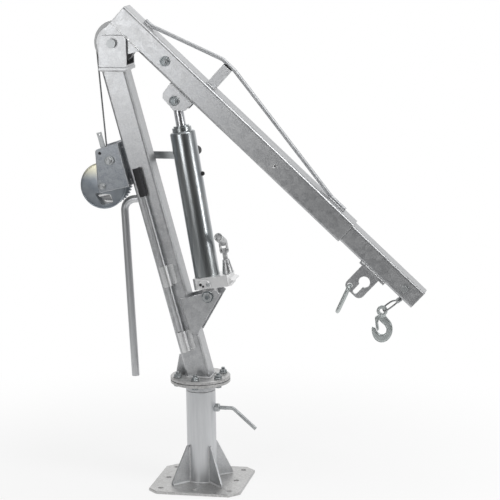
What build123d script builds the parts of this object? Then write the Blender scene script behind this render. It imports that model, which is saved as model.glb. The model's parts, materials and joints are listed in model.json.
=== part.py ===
from build123d import *
import math
import os

# Column-mounted jib crane with a hydraulic jack and a hand winch. Millimetres, +Z up.
# X runs along the jib, Y away from the viewer, origin under the base plate on the swivel axis.

# Base
PLATE_SIDE = 280
PLATE_THICK = 8
PLATE_CHAMFER = 30
BOLT_PITCH = 105
BOLT_HOLE_D = 17
PIPE_D = 88.9
PIPE_WALL = 5
GUSSET_REACH = 64
GUSSET_TOP = 122
GUSSET_NOSE = 8
GUSSET_THICK = 6
LOCK_BELOW_TOP = 55
LOCK_D = 11
LOCK_ARM = 54
LOCK_DROP_LEN = 93
LOCK_DROP_DEG = 42
LOCK_BEND_R = 14

# Swivel and flanges
SWIVEL_GAP = 1.5
SPIGOT_CLEAR = 0.45
SPIGOT_WALL = 6
SPIGOT_FOOT = 70
FLANGE_D = 180
FLANGE_THICK = 10
FLANGE_UNDER = 315
COLLAR_HEIGHT = 23.5
FLANGE_BOLT_PCD = 144
FLANGE_BOLT_D = 13
FLANGE_BOLTS = 6
FLANGE_CHAMFER = 1.5

# Mast
MAST_SIDE = 70
MAST_WALL = 4
TUBE_CORNER = 7
MAST_LEAN = 14.5
MAST_FOOT_X = 2.4
MAST_RISE = 919
CAP_THICK = 10
CAP_LIP = 2
EDGE_BREAK = 1.2
HEEL_PLATE_THICK = 8
HEEL_PLATE_RISE = 62
HEEL_PLATE_OUT = 41
HEEL_PLATE_TOP = 13

# Yoke and pivot
YOKE_SHIFT = 2
YOKE_WIDTH = 84
YOKE_PLATE = 6
YOKE_INSIDE = 80
YOKE_TOP_R = 14
YOKE_OVER_PIN = 23
PIVOT_ABOVE_CAP = 70
PIN_D = 20
PIN_HEAD_D = 27
PIN_HEAD_H = 12
PIN_CLEAR = 0.3

# Jib, outer tube
BOOM_SIDE = 70
BOOM_WALL = 4
BOOM_DIP = 43.25
PIVOT_DROP = 68
BOOM_TAIL = 46
BOOM_REACH = 875
CHEEK_R = 50
CHEEK_THICK = 8
CHEEK_FOOT = 22
LOCK_HOLE_BACK = 284
LOCK_HOLE_D = 13

# Jib, sliding inner tube
SLIDE_CLEAR = 1
INNER_WALL = 4
INNER_LAP = 475
INNER_SHOW = 286
HOLE_PITCH = 120
HOLE_ROW = 2

# Truss over the jib
POST_SIDE = 30
POST_WALL = 3
POST_S = 294
POST_RISE = 74
TRUSS_D = 12
TRUSS_TAIL_S = 23
TRUSS_LAND_BACK = 103
TRUSS_END_BACK = 49
TRUSS_BEND_R = 25

# Sheaves and cable
CABLE_D = 5
SHEAVE_R = 64
SHEAVE_WIDTH = 16
SHEAVE_ROOM = 5
GROOVE_DEPTH = 6
GROOVE_MOUTH = 13
LAY_CLEAR = 0.2
TIP_SHEAVE_R = 25
TIP_SHEAVE_WIDTH = 14
TIP_AXLE_BACK = 51
TIP_AXLE_D = 12
TIP_WRAP = 14
CABLE_SKIP = 40
CABLE_LAP = 60
KEEPER_S = 149
KEEPER_D = 9
KEEPER_FLATS = 17
KEEPER_HEAD = 7
CLIP_N = 22
CLIP_BODY_W = 26
CLIP_BODY_D = 13
CLIP_BODY_H = 14
LOOP_LIFT = 4.5
LOOP_WIDTH = 26

# Jack
JACK_FOOT_OUT = 34.1
JACK_FOOT_UP = 250
JACK_EAR_S = 246
EAR_LEFT = 44
EAR_RIGHT = 44
EAR_DEEP = 23
EAR_THICK = 6
EAR_INSIDE = 48
EAR_BOLT_D = 16
CYLINDER_D = 75
CYLINDER_WALL = 5
CYLINDER_TOP = 511
CYLINDER_SHOULDER = 484
COLLAR_D = 56
RAM_D = 30
RAM_CLEAR = 0.4
RAM_FOOT = 66
BASE_LOW = 23
BASE_HIGH = 57
BASE_LEFT = 38
BASE_RIGHT = 75
BASE_DEPTH = 80
BASE_CHAMFER = 8
FOOT_EYE_R = 19
FOOT_WIDTH = 40
FOOT_PIN_D = 18
BRACKET_THICK = 6
BRACKET_LAP = 22
BRACKET_DROP = 115
BRACKET_NOSE = 38.5
BRACKET_NOSE_UP = 8
BRACKET_TOP = 24.5
BRACKET_TOP_UP = 20
BRACKET_BACK_DOWN = 4

# Pump
PUMP_Q = 64
PUMP_COLUMN_D = 24
PUMP_TOP = 98
PLUNGER_D = 12
SOCKET_D = 25
SOCKET_BORE = 18.5
SOCKET_LEN = 56
SOCKET_BACK = 6
SOCKET_TILT = 26
SOCKET_RISE = 26
LEVER_W = 126
LEVER_PIN_D = 8
LEVER_TAB = 3
LEVER_TAB_OUT = 11.5

# Winch
WINCH_PLATE = 4
WINCH_INSIDE = 106
WINCH_STANDOFF = 6
PAD_WIDTH = 56
PAD_HEIGHT = 100
WINCH_BELOW = 89
WINCH_ABOVE = 44
WINCH_FRONT_HIGH = 34
WINCH_FRONT_LOW = 57
GEAR_MODULE = 3
GEAR_TEETH = 44
PINION_TEETH = 10
GEAR_WIDTH = 10
PRESSURE_DEG = 25
BACKLASH = 0.5
CRANK_P = -78
CRANK_T = 698
DRUM_DIR = 238
SHAFT_D = 14
AXLE_D = 14
BEARING_CLEAR = 0.4
HUB_D = 20
FLANGE_R = 69
DRUM_FLANGE = 4
RATCHET_R = 27
RATCHET_TEETH = 10
PAWL_BACK = 26
PAWL_UP = 26
PAWL_PIN_D = 7
PAWL_W = 14
PAWL_LEN = 58
CRANK_ARM = 210
CRANK_ARM_W = 22
CRANK_ARM_T = 6
CRANK_GRIP_D = 28
CRANK_GRIP_LEN = 110

# Turning handle and stored pump handle
TURN_D = 23
TURN_WALL = 2.5
TURN_BELOW_WINCH = 49
TURN_OUT = 50
TURN_LEN = 545
TURN_BEND_R = 34
TURN_KICK = 21
TURN_ROOT = 10
TURN_FALL = 6
STORE_P = -9
CLIP_D = 27
CLIP_WALL = 2.5
CLIP_LEN = 63
CLIP_LOW_T = 88
CLIP_HIGH_T = 292
BAR_D = 17
BAR_TOP_T = 656
RUBBER_D = 23
RUBBER_LEN = 86

# Load plate, link and hook
STRIP_BACK = (199, 104)
STRIP_THICK = 7
STRIP_WIDTH = 66
LOAD_PLATE_BACK = (187, 121)
LOAD_PLATE_DROP = 97
LOAD_PLATE_THICK = 10
KEY_R = 17
KEY_DEPTH = 46
KEY_SLOT = 14
KEY_SLOT_LEN = 40
LINK_IN = 15
LINK_UP = 14
LINK_HOLE_D = 16
LINK_D = 12
LINK_LEN = 98
LINK_WIDTH = 40
LINK_BEND = 11
LINK_TILT = 13
LINK_TWIST = 12
LINK_SEAT = 0.75
HOOK_BACK = 70.8
HOOK_DROP = 74
HOOK_EYE_R = 16
HOOK_EYE_BORE = 7.5
HOOK_THICK = 15
HOOK_CORE = 8
HOOK_TAPER = 36
LATCH_PIN = (-15, -21)
LATCH_HOLE_D = 4
LATCH_CHEEK = 1.6
LATCH_GAP = 0.3


def mast_x(z):
    return MAST_FOOT_X - (z - MAST_FOOT_Z) * math.tan(math.radians(MAST_LEAN))


def slab(face, plane, y_near, y_far):
    """Sketch in a side plane made solid between two distances from the viewer."""
    return plane * (Pos(0, 0, -y_far) * extrude(face, y_far - y_near))


def polygon(points):
    return make_face(Polyline(*points, close=True))


def rod_y(plane, a, b, d, y_near, y_far):
    """Round bar across the crane at the local point (a, b) of a side plane."""
    return slab(Pos(a, b) * Circle(d / 2), plane, y_near, y_far)


def forged(face, plane):
    """Hook section: straight core with sides that taper towards both faces."""
    core = HOOK_CORE / 2
    cap = Pos(0, 0, core) * extrude(face, HOOK_THICK / 2 - core, taper=HOOK_TAPER)
    return plane * (extrude(face, core, both=True) + cap + mirror(cap, about=Plane.XY))


def tube_section(side, wall, corner):
    return RectangleRounded(side, side, corner) - RectangleRounded(
        side - 2 * wall, side - 2 * wall, max(corner - wall, 0.5))


def along(plane, start, end, section, offset=0):
    """Section swept straight along a side plane's X axis at height offset."""
    start_plane = Plane(plane.from_local_coords((start, offset, 0)),
                        x_dir=plane.y_dir, z_dir=plane.x_dir)
    return extrude(start_plane * section, end - start)


def sweep_round(plane, points, bends, d):
    """Sweeps a circle along straight runs joined by arcs of the given radii."""
    edges = []
    cursor = Vector(*points[0], 0)
    for i in range(1, len(points)):
        corner = Vector(*points[i], 0)
        if i == len(points) - 1:
            edges.append(Line(cursor, corner))
            break
        before = (Vector(*points[i - 1], 0) - corner).normalized()
        after = (Vector(*points[i + 1], 0) - corner).normalized()
        half = before.get_angle(after) / 2
        trim = bends[i - 1] / math.tan(math.radians(half))
        leave = corner + before * trim
        join = corner + after * trim
        edges.append(Line(cursor, leave))
        edges.append(TangentArc(leave, join, tangent=(corner - leave)))
        cursor = join
    path = plane * Wire([e.edge() for e in edges])
    section = Plane(path @ 0, z_dir=path % 0) * Circle(d / 2)
    return sweep(section, path)


def involute_gear(teeth, module, bore):
    """Gear face with involute flanks; a tooth is centred on the X axis."""
    alpha = math.radians(PRESSURE_DEG)
    pitch_r = teeth * module / 2
    base_r = pitch_r * math.cos(alpha)
    tip_r = pitch_r + 0.8 * module
    root_r = pitch_r - 1.05 * module
    inv = math.tan(alpha) - alpha
    half_pitch = math.pi / (2 * teeth) - BACKLASH / (4 * pitch_r)
    start_r = max(root_r, base_r)
    flank = []
    for k in range(4):
        r = start_r + (tip_r - start_r) * k / 3
        roll = math.sqrt(max((r / base_r) ** 2 - 1, 0))
        flank.append((r, half_pitch + inv - (roll - math.atan(roll))))
    pts = []
    for tooth in range(teeth):
        mid = 2 * math.pi * tooth / teeth
        rise = [(root_r, -flank[0][1])] if root_r < start_r else []
        rise += [(r, -a) for r, a in flank]
        fall = [(r, a) for r, a in reversed(flank)]
        fall += [(root_r, flank[0][1])] if root_r < start_r else []
        pts += [(r * math.cos(mid + a), r * math.sin(mid + a)) for r, a in rise + fall]
    return polygon(pts) - Circle(bore / 2) if bore else polygon(pts)


def ratchet_face(teeth, outer, depth, bore):
    pts = []
    for tooth in range(teeth):
        a = 2 * math.pi * tooth / teeth
        b = a + 2 * math.pi / teeth * 0.93
        pts.append((outer * math.cos(a), outer * math.sin(a)))
        pts.append(((outer - depth) * math.cos(b), (outer - depth) * math.sin(b)))
    return polygon(pts) - Circle(bore / 2)


def sheave(plane, a, b, outer, width, bore):
    """Grooved wheel; the cable lies on the bottom of its V."""
    floor = outer - GROOVE_DEPTH
    disc = slab(Pos(a, b) * (Circle(outer) - Circle(bore / 2)), plane, -width / 2, width / 2)
    vee = polygon([(floor, -CABLE_D / 2), (outer + 1, -GROOVE_MOUTH / 2), (outer + 1, GROOVE_MOUTH / 2),
                   (floor, CABLE_D / 2)])
    centre = Plane(plane.from_local_coords((a, b, 0)), x_dir=plane.x_dir, z_dir=plane.z_dir)
    return disc - centre * revolve(Plane.XZ * vee, Axis.Z)


parts = {}
collar_z = FLANGE_UNDER - COLLAR_HEIGHT
PIPE_TOP = collar_z - SWIVEL_GAP
LOCK_Z = PIPE_TOP - LOCK_BELOW_TOP
UPPER_FLANGE = FLANGE_UNDER + FLANGE_THICK
MAST_FOOT_Z = UPPER_FLANGE + FLANGE_THICK
CAP_UNDER = MAST_FOOT_Z + MAST_RISE
CAP_TOP = CAP_UNDER + CAP_THICK
PIVOT = (mast_x(CAP_UNDER) + YOKE_SHIFT, CAP_TOP + PIVOT_ABOVE_CAP)
JACK_FOOT = (MAST_FOOT_X + JACK_FOOT_OUT, MAST_FOOT_Z + JACK_FOOT_UP)
lean = math.radians(MAST_LEAN)
dip = math.radians(BOOM_DIP)

# Side planes: local X and Y lie in the crane's plane, local Z points at the viewer
world = Plane.XZ
mast_frame = Plane((MAST_FOOT_X, 0, MAST_FOOT_Z), x_dir=(math.cos(lean), 0, math.sin(lean)),
                   z_dir=(0, -1, 0))
boom_frame = Plane((PIVOT[0], 0, PIVOT[1]), x_dir=(math.cos(dip), 0, -math.sin(dip)),
                   z_dir=(0, -1, 0))
LOCK_HOLE_S = BOOM_REACH - LOCK_HOLE_BACK
INNER_TAIL = BOOM_REACH - INNER_LAP
INNER_TIP = BOOM_REACH + INNER_SHOW
TIP_AXLE_S = INNER_TIP - TIP_AXLE_BACK
STRIP_S = [INNER_TIP - back for back in STRIP_BACK]
LOAD_PLATE_S = [INNER_TIP - back for back in LOAD_PLATE_BACK]
tip_axle_at = boom_frame.from_local_coords((TIP_AXLE_S, PIVOT_DROP, 0))
HOOK_AT = (tip_axle_at.X - HOOK_BACK, tip_axle_at.Z - HOOK_DROP)
ear_pin = boom_frame.from_local_coords((JACK_EAR_S, 0, 0))
jack_vec = Vector(ear_pin.X - JACK_FOOT[0], 0, ear_pin.Z - JACK_FOOT[1])
JACK_REST = jack_vec.length
jack_dir = jack_vec.normalized()
jack_frame = Plane((JACK_FOOT[0], 0, JACK_FOOT[1]), x_dir=(jack_dir.Z, 0, -jack_dir.X),
                   z_dir=(0, -1, 0))

# Base plate, pipe and gussets
holes = [(x, y) for x in (-1, 0, 1) for y in (-1, 0, 1) if x or y]
plate = Box(PLATE_SIDE, PLATE_SIDE, PLATE_THICK, align=(Align.CENTER, Align.CENTER, Align.MIN))
plate = chamfer(plate.edges().filter_by(Axis.Z), PLATE_CHAMFER)
plate = chamfer(plate.faces().sort_by(Axis.Z)[-1].edges(), EDGE_BREAK)
for x, y in holes:
    plate -= Pos(x * BOLT_PITCH, y * BOLT_PITCH) * Cylinder(BOLT_HOLE_D / 2, 3 * PLATE_THICK)
parts["base_plate"] = plate

pipe_h = PIPE_TOP - PLATE_THICK
pipe_face = Circle(PIPE_D / 2) - Circle(PIPE_D / 2 - PIPE_WALL)
pipe = Pos(0, 0, PLATE_THICK) * extrude(pipe_face, pipe_h)
lock_axis = Plane((0, 0, LOCK_Z), x_dir=(0, 1, 0), z_dir=(1, 0, 0))
pipe -= lock_axis * extrude(Circle(LOCK_D / 2 + BEARING_CLEAR), PIPE_D)
parts["base_pipe"] = pipe

pipe_solid = Pos(0, 0, PLATE_THICK) * extrude(Circle(PIPE_D / 2), pipe_h)
for name, turn in (("front_right", -45), ("rear_right", 45), ("rear_left", 135), ("front_left", -135)):
    inner = PIPE_D / 2 - 4
    outer = PIPE_D / 2 + GUSSET_REACH
    face = polygon([(inner, PLATE_THICK), (outer, PLATE_THICK), (outer, PLATE_THICK + GUSSET_NOSE),
                    (PIPE_D / 2 + GUSSET_NOSE, GUSSET_TOP), (inner, GUSSET_TOP)])
    rib = slab(face, world, -GUSSET_THICK / 2, GUSSET_THICK / 2)
    parts["base_gusset_" + name] = Rot(0, 0, turn) * rib - pipe_solid

spigot_r = PIPE_D / 2 - PIPE_WALL - SPIGOT_CLEAR
drop = math.radians(LOCK_DROP_DEG)
elbow = PIPE_D / 2 + LOCK_ARM
lock_points = [(spigot_r + 0.5, LOCK_Z), (elbow, LOCK_Z),
               (elbow + LOCK_DROP_LEN * math.cos(drop), LOCK_Z - LOCK_DROP_LEN * math.sin(drop))]
parts["lock_screw"] = sweep_round(world, lock_points, [LOCK_BEND_R], LOCK_D)

# Swivel: spigot inside the pipe, collar and flange above it, mast flange on top
spigot_face = Circle(spigot_r) - Circle(spigot_r - SPIGOT_WALL)
spigot = Pos(0, 0, SPIGOT_FOOT) * extrude(spigot_face, FLANGE_UNDER - SPIGOT_FOOT)
collar_face = Circle(PIPE_D / 2) - Circle(spigot_r - SPIGOT_WALL)
parts["swivel_spigot"] = spigot + Pos(0, 0, collar_z) * extrude(collar_face, FLANGE_UNDER - collar_z)
flange_face = Circle(FLANGE_D / 2)
for spot in PolarLocations(FLANGE_BOLT_PCD / 2, FLANGE_BOLTS, start_angle=30):
    flange_face -= spot * Circle(FLANGE_BOLT_D / 2)
flange = extrude(flange_face, FLANGE_THICK)
rim = flange.edges().filter_by(GeomType.CIRCLE).filter_by(lambda edge: edge.radius > FLANGE_BOLT_PCD / 2)
flange = chamfer(rim, FLANGE_CHAMFER)
parts["lower_flange"] = Pos(0, 0, FLANGE_UNDER) * flange
parts["mast_flange"] = Pos(0, 0, UPPER_FLANGE) * flange

# Mast tube cut level at both ends
mast_len = (CAP_UNDER - MAST_FOOT_Z) / math.cos(lean)
mast_up = Plane(mast_frame.from_local_coords((0, -60, 0)), x_dir=mast_frame.x_dir,
                z_dir=mast_frame.y_dir)
keep = Pos(0, 0, MAST_FOOT_Z) * Box(2 * mast_len, 3 * MAST_SIDE, CAP_UNDER - MAST_FOOT_Z,
                                    align=(Align.CENTER, Align.CENTER, Align.MIN))
mast_full = mast_up * extrude(RectangleRounded(MAST_SIDE, MAST_SIDE, TUBE_CORNER), mast_len + 120) & keep
mast = mast_up * extrude(tube_section(MAST_SIDE, MAST_WALL, TUBE_CORNER), mast_len + 120) & keep
parts["mast"] = mast

heel_x = mast_x(MAST_FOOT_Z) - MAST_SIDE / 2 / math.cos(lean)
heel_top = MAST_FOOT_Z + HEEL_PLATE_RISE
heel_face = polygon([(heel_x + 20, MAST_FOOT_Z), (heel_x - HEEL_PLATE_OUT, MAST_FOOT_Z),
                     (mast_x(heel_top) - MAST_SIDE / 2 / math.cos(lean) - HEEL_PLATE_TOP, heel_top),
                     (heel_x + 5, heel_top)])
parts["mast_heel_plate"] = slab(heel_face, world, -HEEL_PLATE_THICK / 2, HEEL_PLATE_THICK / 2) - mast_full

# Cap and yoke
yoke_out = YOKE_INSIDE / 2 + YOKE_PLATE
cap = Box(YOKE_WIDTH + 2 * CAP_LIP, 2 * (yoke_out + CAP_LIP), CAP_THICK,
          align=(Align.CENTER, Align.CENTER, Align.MIN))
parts["mast_cap"] = Pos(PIVOT[0], 0, CAP_UNDER) * chamfer(cap.edges(), EDGE_BREAK)
yoke_floor = CAP_TOP
yoke_top = PIVOT[1] + YOKE_OVER_PIN
yoke_h = yoke_top - yoke_floor
side_face = Pos(PIVOT[0], yoke_floor + yoke_h / 2) * Rectangle(YOKE_WIDTH, yoke_h)
side_face = fillet(side_face.vertices().group_by(Axis.Y)[-1], YOKE_TOP_R)
yoke = slab(side_face, world, -yoke_out, yoke_out)
void = Pos(PIVOT[0], 0, yoke_floor + YOKE_PLATE) * Box(
    2 * YOKE_WIDTH, YOKE_INSIDE, yoke_h, align=(Align.CENTER, Align.CENTER, Align.MIN))
yoke -= void
yoke -= rod_y(world, PIVOT[0], PIVOT[1], PIN_D, -yoke_out - 5, yoke_out + 5)
parts["yoke"] = yoke
pin = rod_y(world, PIVOT[0], PIVOT[1], PIN_D, -yoke_out, yoke_out)
for y0 in (-yoke_out - PIN_HEAD_H, yoke_out):
    pin += rod_y(world, PIVOT[0], PIVOT[1], PIN_HEAD_D, y0, y0 + PIN_HEAD_H)
parts["pivot_pin"] = pin
parts["head_sheave"] = sheave(boom_frame, 0, 0, SHEAVE_R, SHEAVE_WIDTH, PIN_D + 0.2)

# Jib, outer tube with the sheave slot and the pin hole
tube_low = PIVOT_DROP - BOOM_SIDE / 2
tube_high = PIVOT_DROP + BOOM_SIDE / 2
boom_section = tube_section(BOOM_SIDE, BOOM_WALL, TUBE_CORNER)
boom = along(boom_frame, -BOOM_TAIL, BOOM_REACH, boom_section, PIVOT_DROP)
room_r = SHEAVE_R + SHEAVE_ROOM
boom -= slab(Circle(room_r), boom_frame, -SHEAVE_WIDTH / 2 - SHEAVE_ROOM, SHEAVE_WIDTH / 2 + SHEAVE_ROOM)
boom -= rod_y(boom_frame, LOCK_HOLE_S, PIVOT_DROP, LOCK_HOLE_D, -BOOM_SIDE, BOOM_SIDE)
boom -= rod_y(boom_frame, KEEPER_S, PIVOT_DROP, KEEPER_D, -BOOM_SIDE, BOOM_SIDE)
parts["outer_boom"] = boom
keeper = rod_y(boom_frame, KEEPER_S, PIVOT_DROP, KEEPER_D, -BOOM_SIDE / 2, BOOM_SIDE / 2)
for y0 in (-BOOM_SIDE / 2 - KEEPER_HEAD, BOOM_SIDE / 2):
    head = Pos(KEEPER_S, PIVOT_DROP) * RegularPolygon(KEEPER_FLATS / 2, 6, major_radius=False)
    keeper += slab(head, boom_frame, y0, y0 + KEEPER_HEAD)
parts["cable_keeper"] = keeper

cheek_top = tube_low + TUBE_CORNER
cheek_face = polygon([(-BOOM_TAIL, 0), (CHEEK_R, 0), (CHEEK_R + CHEEK_FOOT, tube_low),
                      (CHEEK_R + CHEEK_FOOT, cheek_top), (-BOOM_TAIL, cheek_top)])
cheek_face = cheek_face + Circle(CHEEK_R) - Circle(PIN_D / 2 + PIN_CLEAR)
cheek_face -= Pos(0, cheek_top + CHEEK_R) * Rectangle(4 * CHEEK_R, 2 * CHEEK_R)
boom_fill = along(boom_frame, -2 * BOOM_TAIL, BOOM_REACH, RectangleRounded(BOOM_SIDE, BOOM_SIDE, TUBE_CORNER),
                  PIVOT_DROP)
for name, sign in (("near", -1), ("far", 1)):
    outer = sign * BOOM_SIDE / 2
    inner = sign * (BOOM_SIDE / 2 - CHEEK_THICK)
    cheek_plate = slab(cheek_face, boom_frame, min(outer, inner), max(outer, inner))
    parts["boom_cheek_" + name] = cheek_plate - boom_fill

# Truss post and rod over the jib
post = Pos(0, 0) * (Rectangle(POST_SIDE, POST_SIDE) - Rectangle(
    POST_SIDE - 2 * POST_WALL, POST_SIDE - 2 * POST_WALL))
post_plane = Plane(boom_frame.from_local_coords((POST_S, tube_high, 0)), x_dir=boom_frame.x_dir,
                   z_dir=boom_frame.y_dir)
parts["truss_post"] = post_plane * extrude(post, POST_RISE)
rod_n = tube_high + TRUSS_D / 2
top_n = tube_high + POST_RISE + TRUSS_D / 2
truss_points = [(TRUSS_TAIL_S, rod_n), (TRUSS_TAIL_S + 25, rod_n), (POST_S - POST_SIDE / 2 - 12, top_n),
                (POST_S + POST_SIDE / 2 + 6, top_n), (BOOM_REACH - TRUSS_LAND_BACK, rod_n),
                (BOOM_REACH - TRUSS_END_BACK, rod_n)]
parts["truss_rod"] = sweep_round(boom_frame, truss_points, [TRUSS_BEND_R] * 4, TRUSS_D)

# Jack ears under the jib
ear_face = polygon([(JACK_EAR_S - EAR_LEFT, tube_low), (JACK_EAR_S - EAR_LEFT + 4, -7),
                    (JACK_EAR_S - EAR_LEFT + 13, -18), (JACK_EAR_S + 17, -EAR_DEEP),
                    (JACK_EAR_S + EAR_RIGHT - 1, 1), (JACK_EAR_S + EAR_RIGHT, tube_low)])
ear_face -= Pos(JACK_EAR_S, 0) * Circle(EAR_BOLT_D / 2)
for name, sign in (("near", -1), ("far", 1)):
    inner = sign * EAR_INSIDE / 2
    outer = sign * (EAR_INSIDE / 2 + EAR_THICK)
    parts["jack_ear_" + name] = slab(ear_face, boom_frame, min(inner, outer), max(inner, outer))

# Inner tube with its row of pin holes, slot for the cable and tip sheave
inner_side = BOOM_SIDE - 2 * BOOM_WALL - 2 * SLIDE_CLEAR
inner_section = tube_section(inner_side, INNER_WALL, TUBE_CORNER)
inner_boom = along(boom_frame, INNER_TAIL, INNER_TIP, inner_section, PIVOT_DROP)
for k in range(-1, HOLE_ROW):
    hole_s = LOCK_HOLE_S + k * HOLE_PITCH
    inner_boom -= rod_y(boom_frame, hole_s, PIVOT_DROP, LOCK_HOLE_D, -BOOM_SIDE, BOOM_SIDE)
inner_boom -= rod_y(boom_frame, TIP_AXLE_S, PIVOT_DROP, TIP_AXLE_D, -BOOM_SIDE, BOOM_SIDE)
slot = Pos(TIP_AXLE_S, PIVOT_DROP - inner_side / 2) * Rectangle(64, 3 * INNER_WALL)
inner_boom -= slab(slot, boom_frame, -13, 13)
parts["inner_boom"] = inner_boom
parts["tip_sheave"] = sheave(boom_frame, TIP_AXLE_S, PIVOT_DROP, TIP_SHEAVE_R, TIP_SHEAVE_WIDTH,
                             TIP_AXLE_D + LAY_CLEAR)
axle = rod_y(boom_frame, TIP_AXLE_S, PIVOT_DROP, TIP_AXLE_D, -inner_side / 2, inner_side / 2)
for y0 in (-inner_side / 2 - 8, inner_side / 2):
    head = Pos(TIP_AXLE_S, PIVOT_DROP) * RegularPolygon(9.5, 6, major_radius=False)
    axle += slab(head, boom_frame, y0, y0 + 8)
parts["tip_axle"] = axle

# Load plate with keyhole, its welded strip and the hanging link
inner_low = PIVOT_DROP - inner_side / 2
strip_mid = (STRIP_S[0] + STRIP_S[1]) / 2
strip_face = Pos(strip_mid, inner_low - STRIP_THICK / 2) * Rectangle(STRIP_S[1] - STRIP_S[0], STRIP_THICK)
parts["load_strip"] = slab(strip_face, boom_frame, -STRIP_WIDTH / 2, STRIP_WIDTH / 2)
plate_top = inner_low - STRIP_THICK
plate_low = inner_low - LOAD_PLATE_DROP
plate_mid = (LOAD_PLATE_S[0] + LOAD_PLATE_S[1]) / 2
load_face = Pos(plate_mid, (plate_top + plate_low) / 2) * Rectangle(
    LOAD_PLATE_S[1] - LOAD_PLATE_S[0], plate_top - plate_low)
load_face = fillet(load_face.vertices().group_by(Axis.Y)[0], 18)
key_n = inner_low - KEY_DEPTH
load_face -= Pos(plate_mid + 6, key_n) * Circle(KEY_R)
load_face -= Pos(plate_mid + 6, key_n - KEY_SLOT_LEN / 2) * Rectangle(KEY_SLOT, KEY_SLOT_LEN)
load_face -= Pos(plate_mid + 6, key_n - KEY_SLOT_LEN) * Circle(KEY_SLOT / 2)
link_s = LOAD_PLATE_S[0] + LINK_IN
link_n = plate_low + LINK_UP
load_face -= Pos(link_s, link_n) * Circle(LINK_HOLE_D / 2)
parts["load_plate"] = slab(load_face, boom_frame, -LOAD_PLATE_THICK / 2, LOAD_PLATE_THICK / 2)

link_eye = boom_frame.from_local_coords((link_s, link_n, 0))
tilt = math.radians(LINK_TILT)
link_plane = Plane(link_eye, x_dir=(0, 1, 0), z_dir=(math.cos(tilt), 0, -math.sin(tilt)))
link_plane = link_plane.rotated((0, LINK_TWIST, 0))
link_mid = LINK_SEAT - (LINK_HOLE_D - LINK_D) / 2 - (LINK_LEN - LINK_D) / 2
link_loop = Pos(0, link_mid) * RectangleRounded(LINK_WIDTH - LINK_D, LINK_LEN - LINK_D, LINK_BEND)
link_path = link_plane * link_loop.wire()
link_section = Plane(link_path @ 0, z_dir=link_path % 0) * Circle(LINK_D / 2)
parts["load_link"] = sweep(link_section, link_path)

# Hook with its eye and spring latch
hook_frame = Plane((HOOK_AT[0], 0, HOOK_AT[1]), x_dir=(1, 0, 0), z_dir=(0, -1, 0))
back_line = Spline((9, -12), (16, -22), (25, -33), (30, -49), (29, -67), (19, -85), (-1, -94.5), (-16, -90),
                   (-27, -75), (-30, -49))
tip_line = Line((-30, -49), (-20, -53))
bowl_line = Spline((-20, -53), (-14, -64), (-3, -71), (9, -67), (13, -56), (8, -43), (-3, -33), (-9, -26))
neck_line = Polyline((-9, -26), (-9, -12), (9, -12))
hook_body = make_face(Wire([back_line.edge(), tip_line.edge(), bowl_line.edge(), *neck_line.edges()]))
hook_lug = polygon([(-20, -18), (-8, -12), (-8, -24), (-14.5, -26.5), (-20, -25)])
hook = forged(hook_body, hook_frame) + forged(Circle(HOOK_EYE_R), hook_frame)
hook += slab(hook_lug, hook_frame, -HOOK_THICK / 2, HOOK_THICK / 2)
hook -= rod_y(hook_frame, 0, 0, 2 * HOOK_EYE_BORE, -HOOK_THICK, HOOK_THICK)
hook -= rod_y(hook_frame, *LATCH_PIN, LATCH_HOLE_D, -HOOK_THICK, HOOK_THICK)
parts["hook"] = hook
latch_in = HOOK_THICK / 2 + LATCH_GAP
latch_out = latch_in + LATCH_CHEEK
tongue = polygon([(-19.5, -28), (-14, -29.5), (-11.5, -45), (-10, -57), (-13.5, -58), (-17.5, -48)])
latch = slab(tongue, hook_frame, -latch_out, latch_out)
cheek = Pos(*LATCH_PIN) * Circle(5) + polygon([(-20, -21), (-10, -21), (-12.5, -36), (-18.5, -36)])
for y0 in (-latch_out, latch_in):
    latch += slab(cheek, hook_frame, y0, y0 + LATCH_CHEEK)
latch_pin_d = LATCH_HOLE_D - 2 * LATCH_GAP
parts["hook_latch"] = latch + rod_y(hook_frame, *LATCH_PIN, latch_pin_d, -latch_out, latch_out)

# Jack
base_mid = (BASE_RIGHT - BASE_LEFT) / 2
base_face = Pos(base_mid, (BASE_LOW + BASE_HIGH) / 2) * Rectangle(
    BASE_LEFT + BASE_RIGHT, BASE_HIGH - BASE_LOW)
base_block = slab(base_face, jack_frame, -BASE_DEPTH / 2, BASE_DEPTH / 2)
base_block = chamfer(base_block.edges().filter_by(Axis((0, 0, 0), jack_frame.y_dir)), BASE_CHAMFER)
foot_face = Circle(FOOT_EYE_R) + Pos(0, BASE_LOW / 2) * Rectangle(2 * FOOT_EYE_R, BASE_LOW)
foot_face -= Circle(FOOT_PIN_D / 2 + PIN_CLEAR)
parts["jack_base"] = base_block + slab(foot_face, jack_frame, -FOOT_WIDTH / 2, FOOT_WIDTH / 2)

jack_up = Plane(jack_frame.from_local_coords((0, BASE_HIGH, 0)), x_dir=jack_frame.x_dir,
                z_dir=jack_frame.y_dir)
shoulder = CYLINDER_SHOULDER - BASE_HIGH
top = CYLINDER_TOP - BASE_HIGH
bore_r = RAM_D / 2 + RAM_CLEAR
wall_r = CYLINDER_D / 2 - CYLINDER_WALL
profile = polygon([(bore_r, top), (COLLAR_D / 2, top), (COLLAR_D / 2 + 1, top - 6),
                   (CYLINDER_D / 2, shoulder), (CYLINDER_D / 2, 0), (0, 0), (0, 6), (wall_r, 6),
                   (wall_r, shoulder - 10), (bore_r, shoulder - 10)])
parts["jack_cylinder"] = jack_up * revolve(Plane.XZ * profile, Axis.Z)
ram = Pos(0, 0, RAM_FOOT - BASE_HIGH) * extrude(Circle(RAM_D / 2), JACK_REST - RAM_FOOT)
ram = jack_up * ram + slab(Pos(0, JACK_REST) * Circle(RAM_D / 2), jack_frame, -RAM_D / 2 + 3, RAM_D / 2 - 3)
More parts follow.
